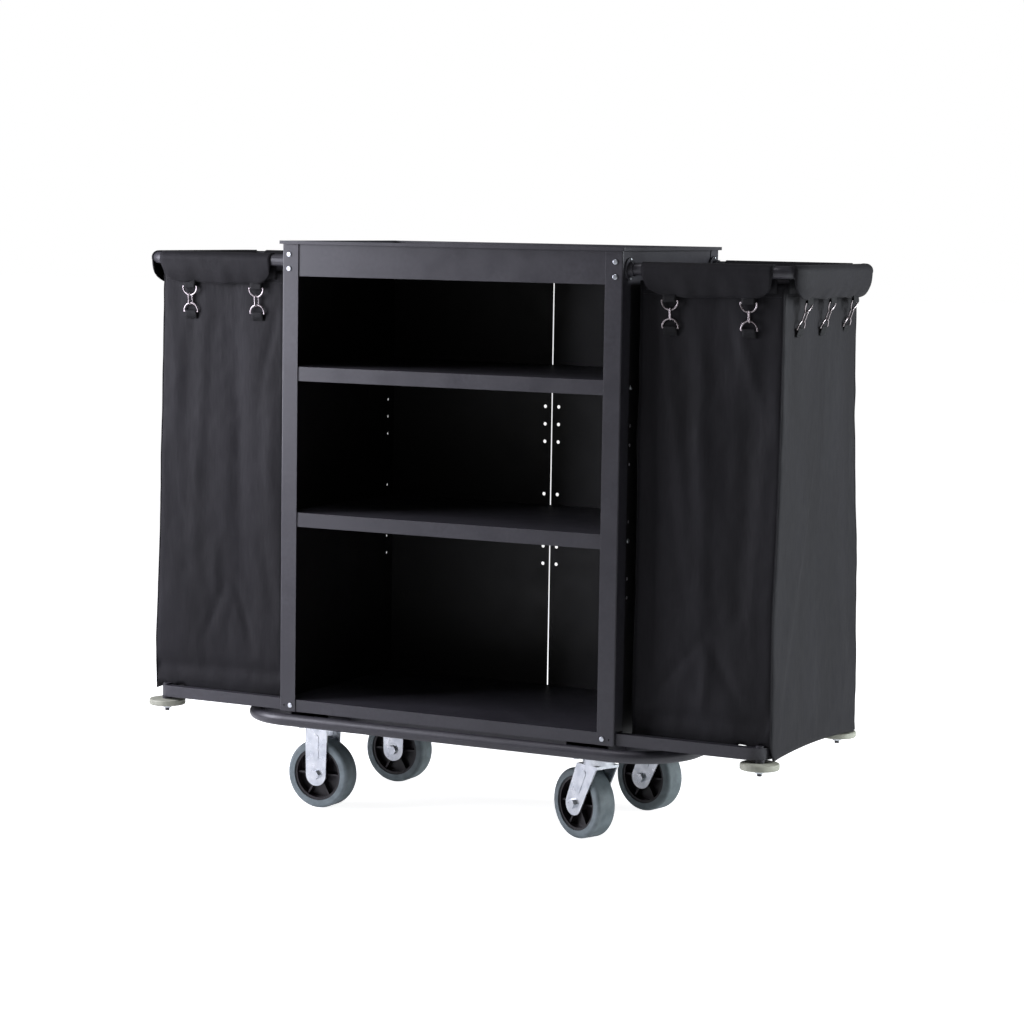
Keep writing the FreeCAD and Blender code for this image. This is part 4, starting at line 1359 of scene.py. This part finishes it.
@dataclass(frozen=True)
class StudioCamera:
    """A long-lens camera off the cart's right front corner, a little above its tray."""

    place: tuple[float, float, float] = (2.9129, -5.5339, 1.3166)
    yaw: float = 0.4795
    pitch: float = 0.1035
    roll: float = 0.0153
    lens: float = 100.07

    def build(self) -> bpy.types.Object:
        """Makes the scene's camera.

        Returns:
            The camera.
        """
        cy, sy, cp, sp = math.cos(self.yaw), math.sin(self.yaw), math.cos(self.pitch), math.sin(self.pitch)
        forward = Vector((-sy * cp, cy * cp, -sp))
        level = Vector((cy, sy, 0))
        up = level.cross(forward)
        right = level * math.cos(self.roll) + up * math.sin(self.roll)
        top = up * math.cos(self.roll) - level * math.sin(self.roll)
        data = bpy.data.cameras.new("studio_camera")
        data.lens = self.lens
        data.sensor_width = 36
        data.clip_end = 200
        camera = bpy.data.objects.new("studio_camera", data)
        bpy.context.scene.collection.objects.link(camera)
        turn = Matrix((right, top, -forward)).transposed().to_4x4()
        camera.matrix_world = Matrix.Translation(Vector(self.place)) @ turn
        bpy.context.scene.camera = camera
        return camera


@dataclass(frozen=True)
class Studio:
    """A pale floor in a white room under soft lamps."""

    floor_colour: str = "#f4f4f4"
    floor_glow: float = 0.90    # how bright the paper itself looks under its own lamps
    room: float = 0.12          # how much the white room lights the cart
    floor_half: float = 40.0

    def seen(self, tree: bpy.types.NodeTree, shed: float, shown: float) -> bpy.types.NodeSocket:
        """A strength that shows one brightness and sheds another as light.

        Args:
            tree: the material's or world's tree.
            shed: the strength that lights the cart.
            shown: the strength that the picture shows.

        Returns:
            The socket that carries the strength.
        """
        eye = add_node(tree, "ShaderNodeLightPath").outputs["Is Camera Ray"]
        return add_node(tree, "ShaderNodeMapRange",
                        {"Value": eye, "To Min": shed, "To Max": shown}).outputs["Result"]

    def build(self, centre: Vector) -> None:
        """Builds the floor, the room and the lamps.

        Args:
            centre: the cart's centre, which the lamps point at.
        """
        scene = bpy.context.scene
        scene.view_settings.view_transform = "Standard"
        world = bpy.data.worlds.new("white_room")
        world.use_nodes = True
        tree = world.node_tree
        tree.nodes.clear()
        back = add_node(tree, "ShaderNodeBackground", {
            "Color": linear("#ffffff"), "Strength": self.seen(tree, self.room, 1.0)})
        add_node(tree, "ShaderNodeOutputWorld", {"Surface": back.outputs["Background"]})
        scene.world = world
        material, tree = new_material("pale_seamless_paper")
        tone = patches(tree, 900, 2, 0.0, 1.0)
        surface(tree, {
            "Base Color": blend_colours(tree, tone, self.floor_colour, "#f8f8f8"),
            "Roughness": 0.9,
            "Specular IOR Level": 0.1,
            "Emission Color": linear("#ffffff"),
            "Emission Strength": self.seen(tree, self.room, self.floor_glow),
        })
        h = self.floor_half
        mesh = bpy.data.meshes.new("studio_floor")
        mesh.from_pydata([(-h, -h, 0), (h, -h, 0), (h, h, 0), (-h, h, 0)], [], [(0, 1, 2, 3)])
        mesh.materials.append(material)
        floor = bpy.data.objects.new("studio_floor", mesh)
        scene.collection.objects.link(floor)
        floor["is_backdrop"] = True
        for box in (
            SoftBox("key_left_front", -57, 15, 2.2, 1.1, 1.4, 66, "#f2f2ff"),
            SoftBox("top", -30, 66, 3.0, 2.0, 1.0, 30, "#f6f4ff"),
            SoftBox("edge_right", 106, 14, 3.4, 1.2, 2.0, 135, "#f4faff"),
        ):
            box.build(centre)


def dress_frame() -> None:
    """Gives every CAD node the finish of its material slot."""
    made = {slot: finish.material() for slot, finish in FINISHES.items()}
    for part in frame["record"]["subparts"]:
        node = frame["nodes"][part["node"]]
        node.data.materials.clear()
        node.data.materials.append(made[part["material_slot"]])
    log.info("dressed %d nodes in %d finishes", len(frame["nodes"]), len(made))


def main() -> None:
    """Builds the looks of the whole cart."""
    cad_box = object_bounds()
    centre = (cad_box[0] + cad_box[1]) / 2
    StudioCamera().build()
    Studio().build(centre)
    dress_frame()
    cloth = bpy.data.materials[FINISHES["bag_cloth"].name]
    webbing = WEBBING.material()
    thread = THREAD.material()
    LaundryBag(Side.LEFT, LEFT_FOLDS, LEFT_WANDERS, 0.016, 0.010, cloth, webbing, thread, 1.7).build()
    LaundryBag(Side.RIGHT, RIGHT_FOLDS, RIGHT_WANDERS, 0.0, 0.0, cloth, webbing, thread, 4.1).build()


if __name__ == "__main__":
    logging.basicConfig(level=logging.INFO, stream=sys.stdout)
    main()
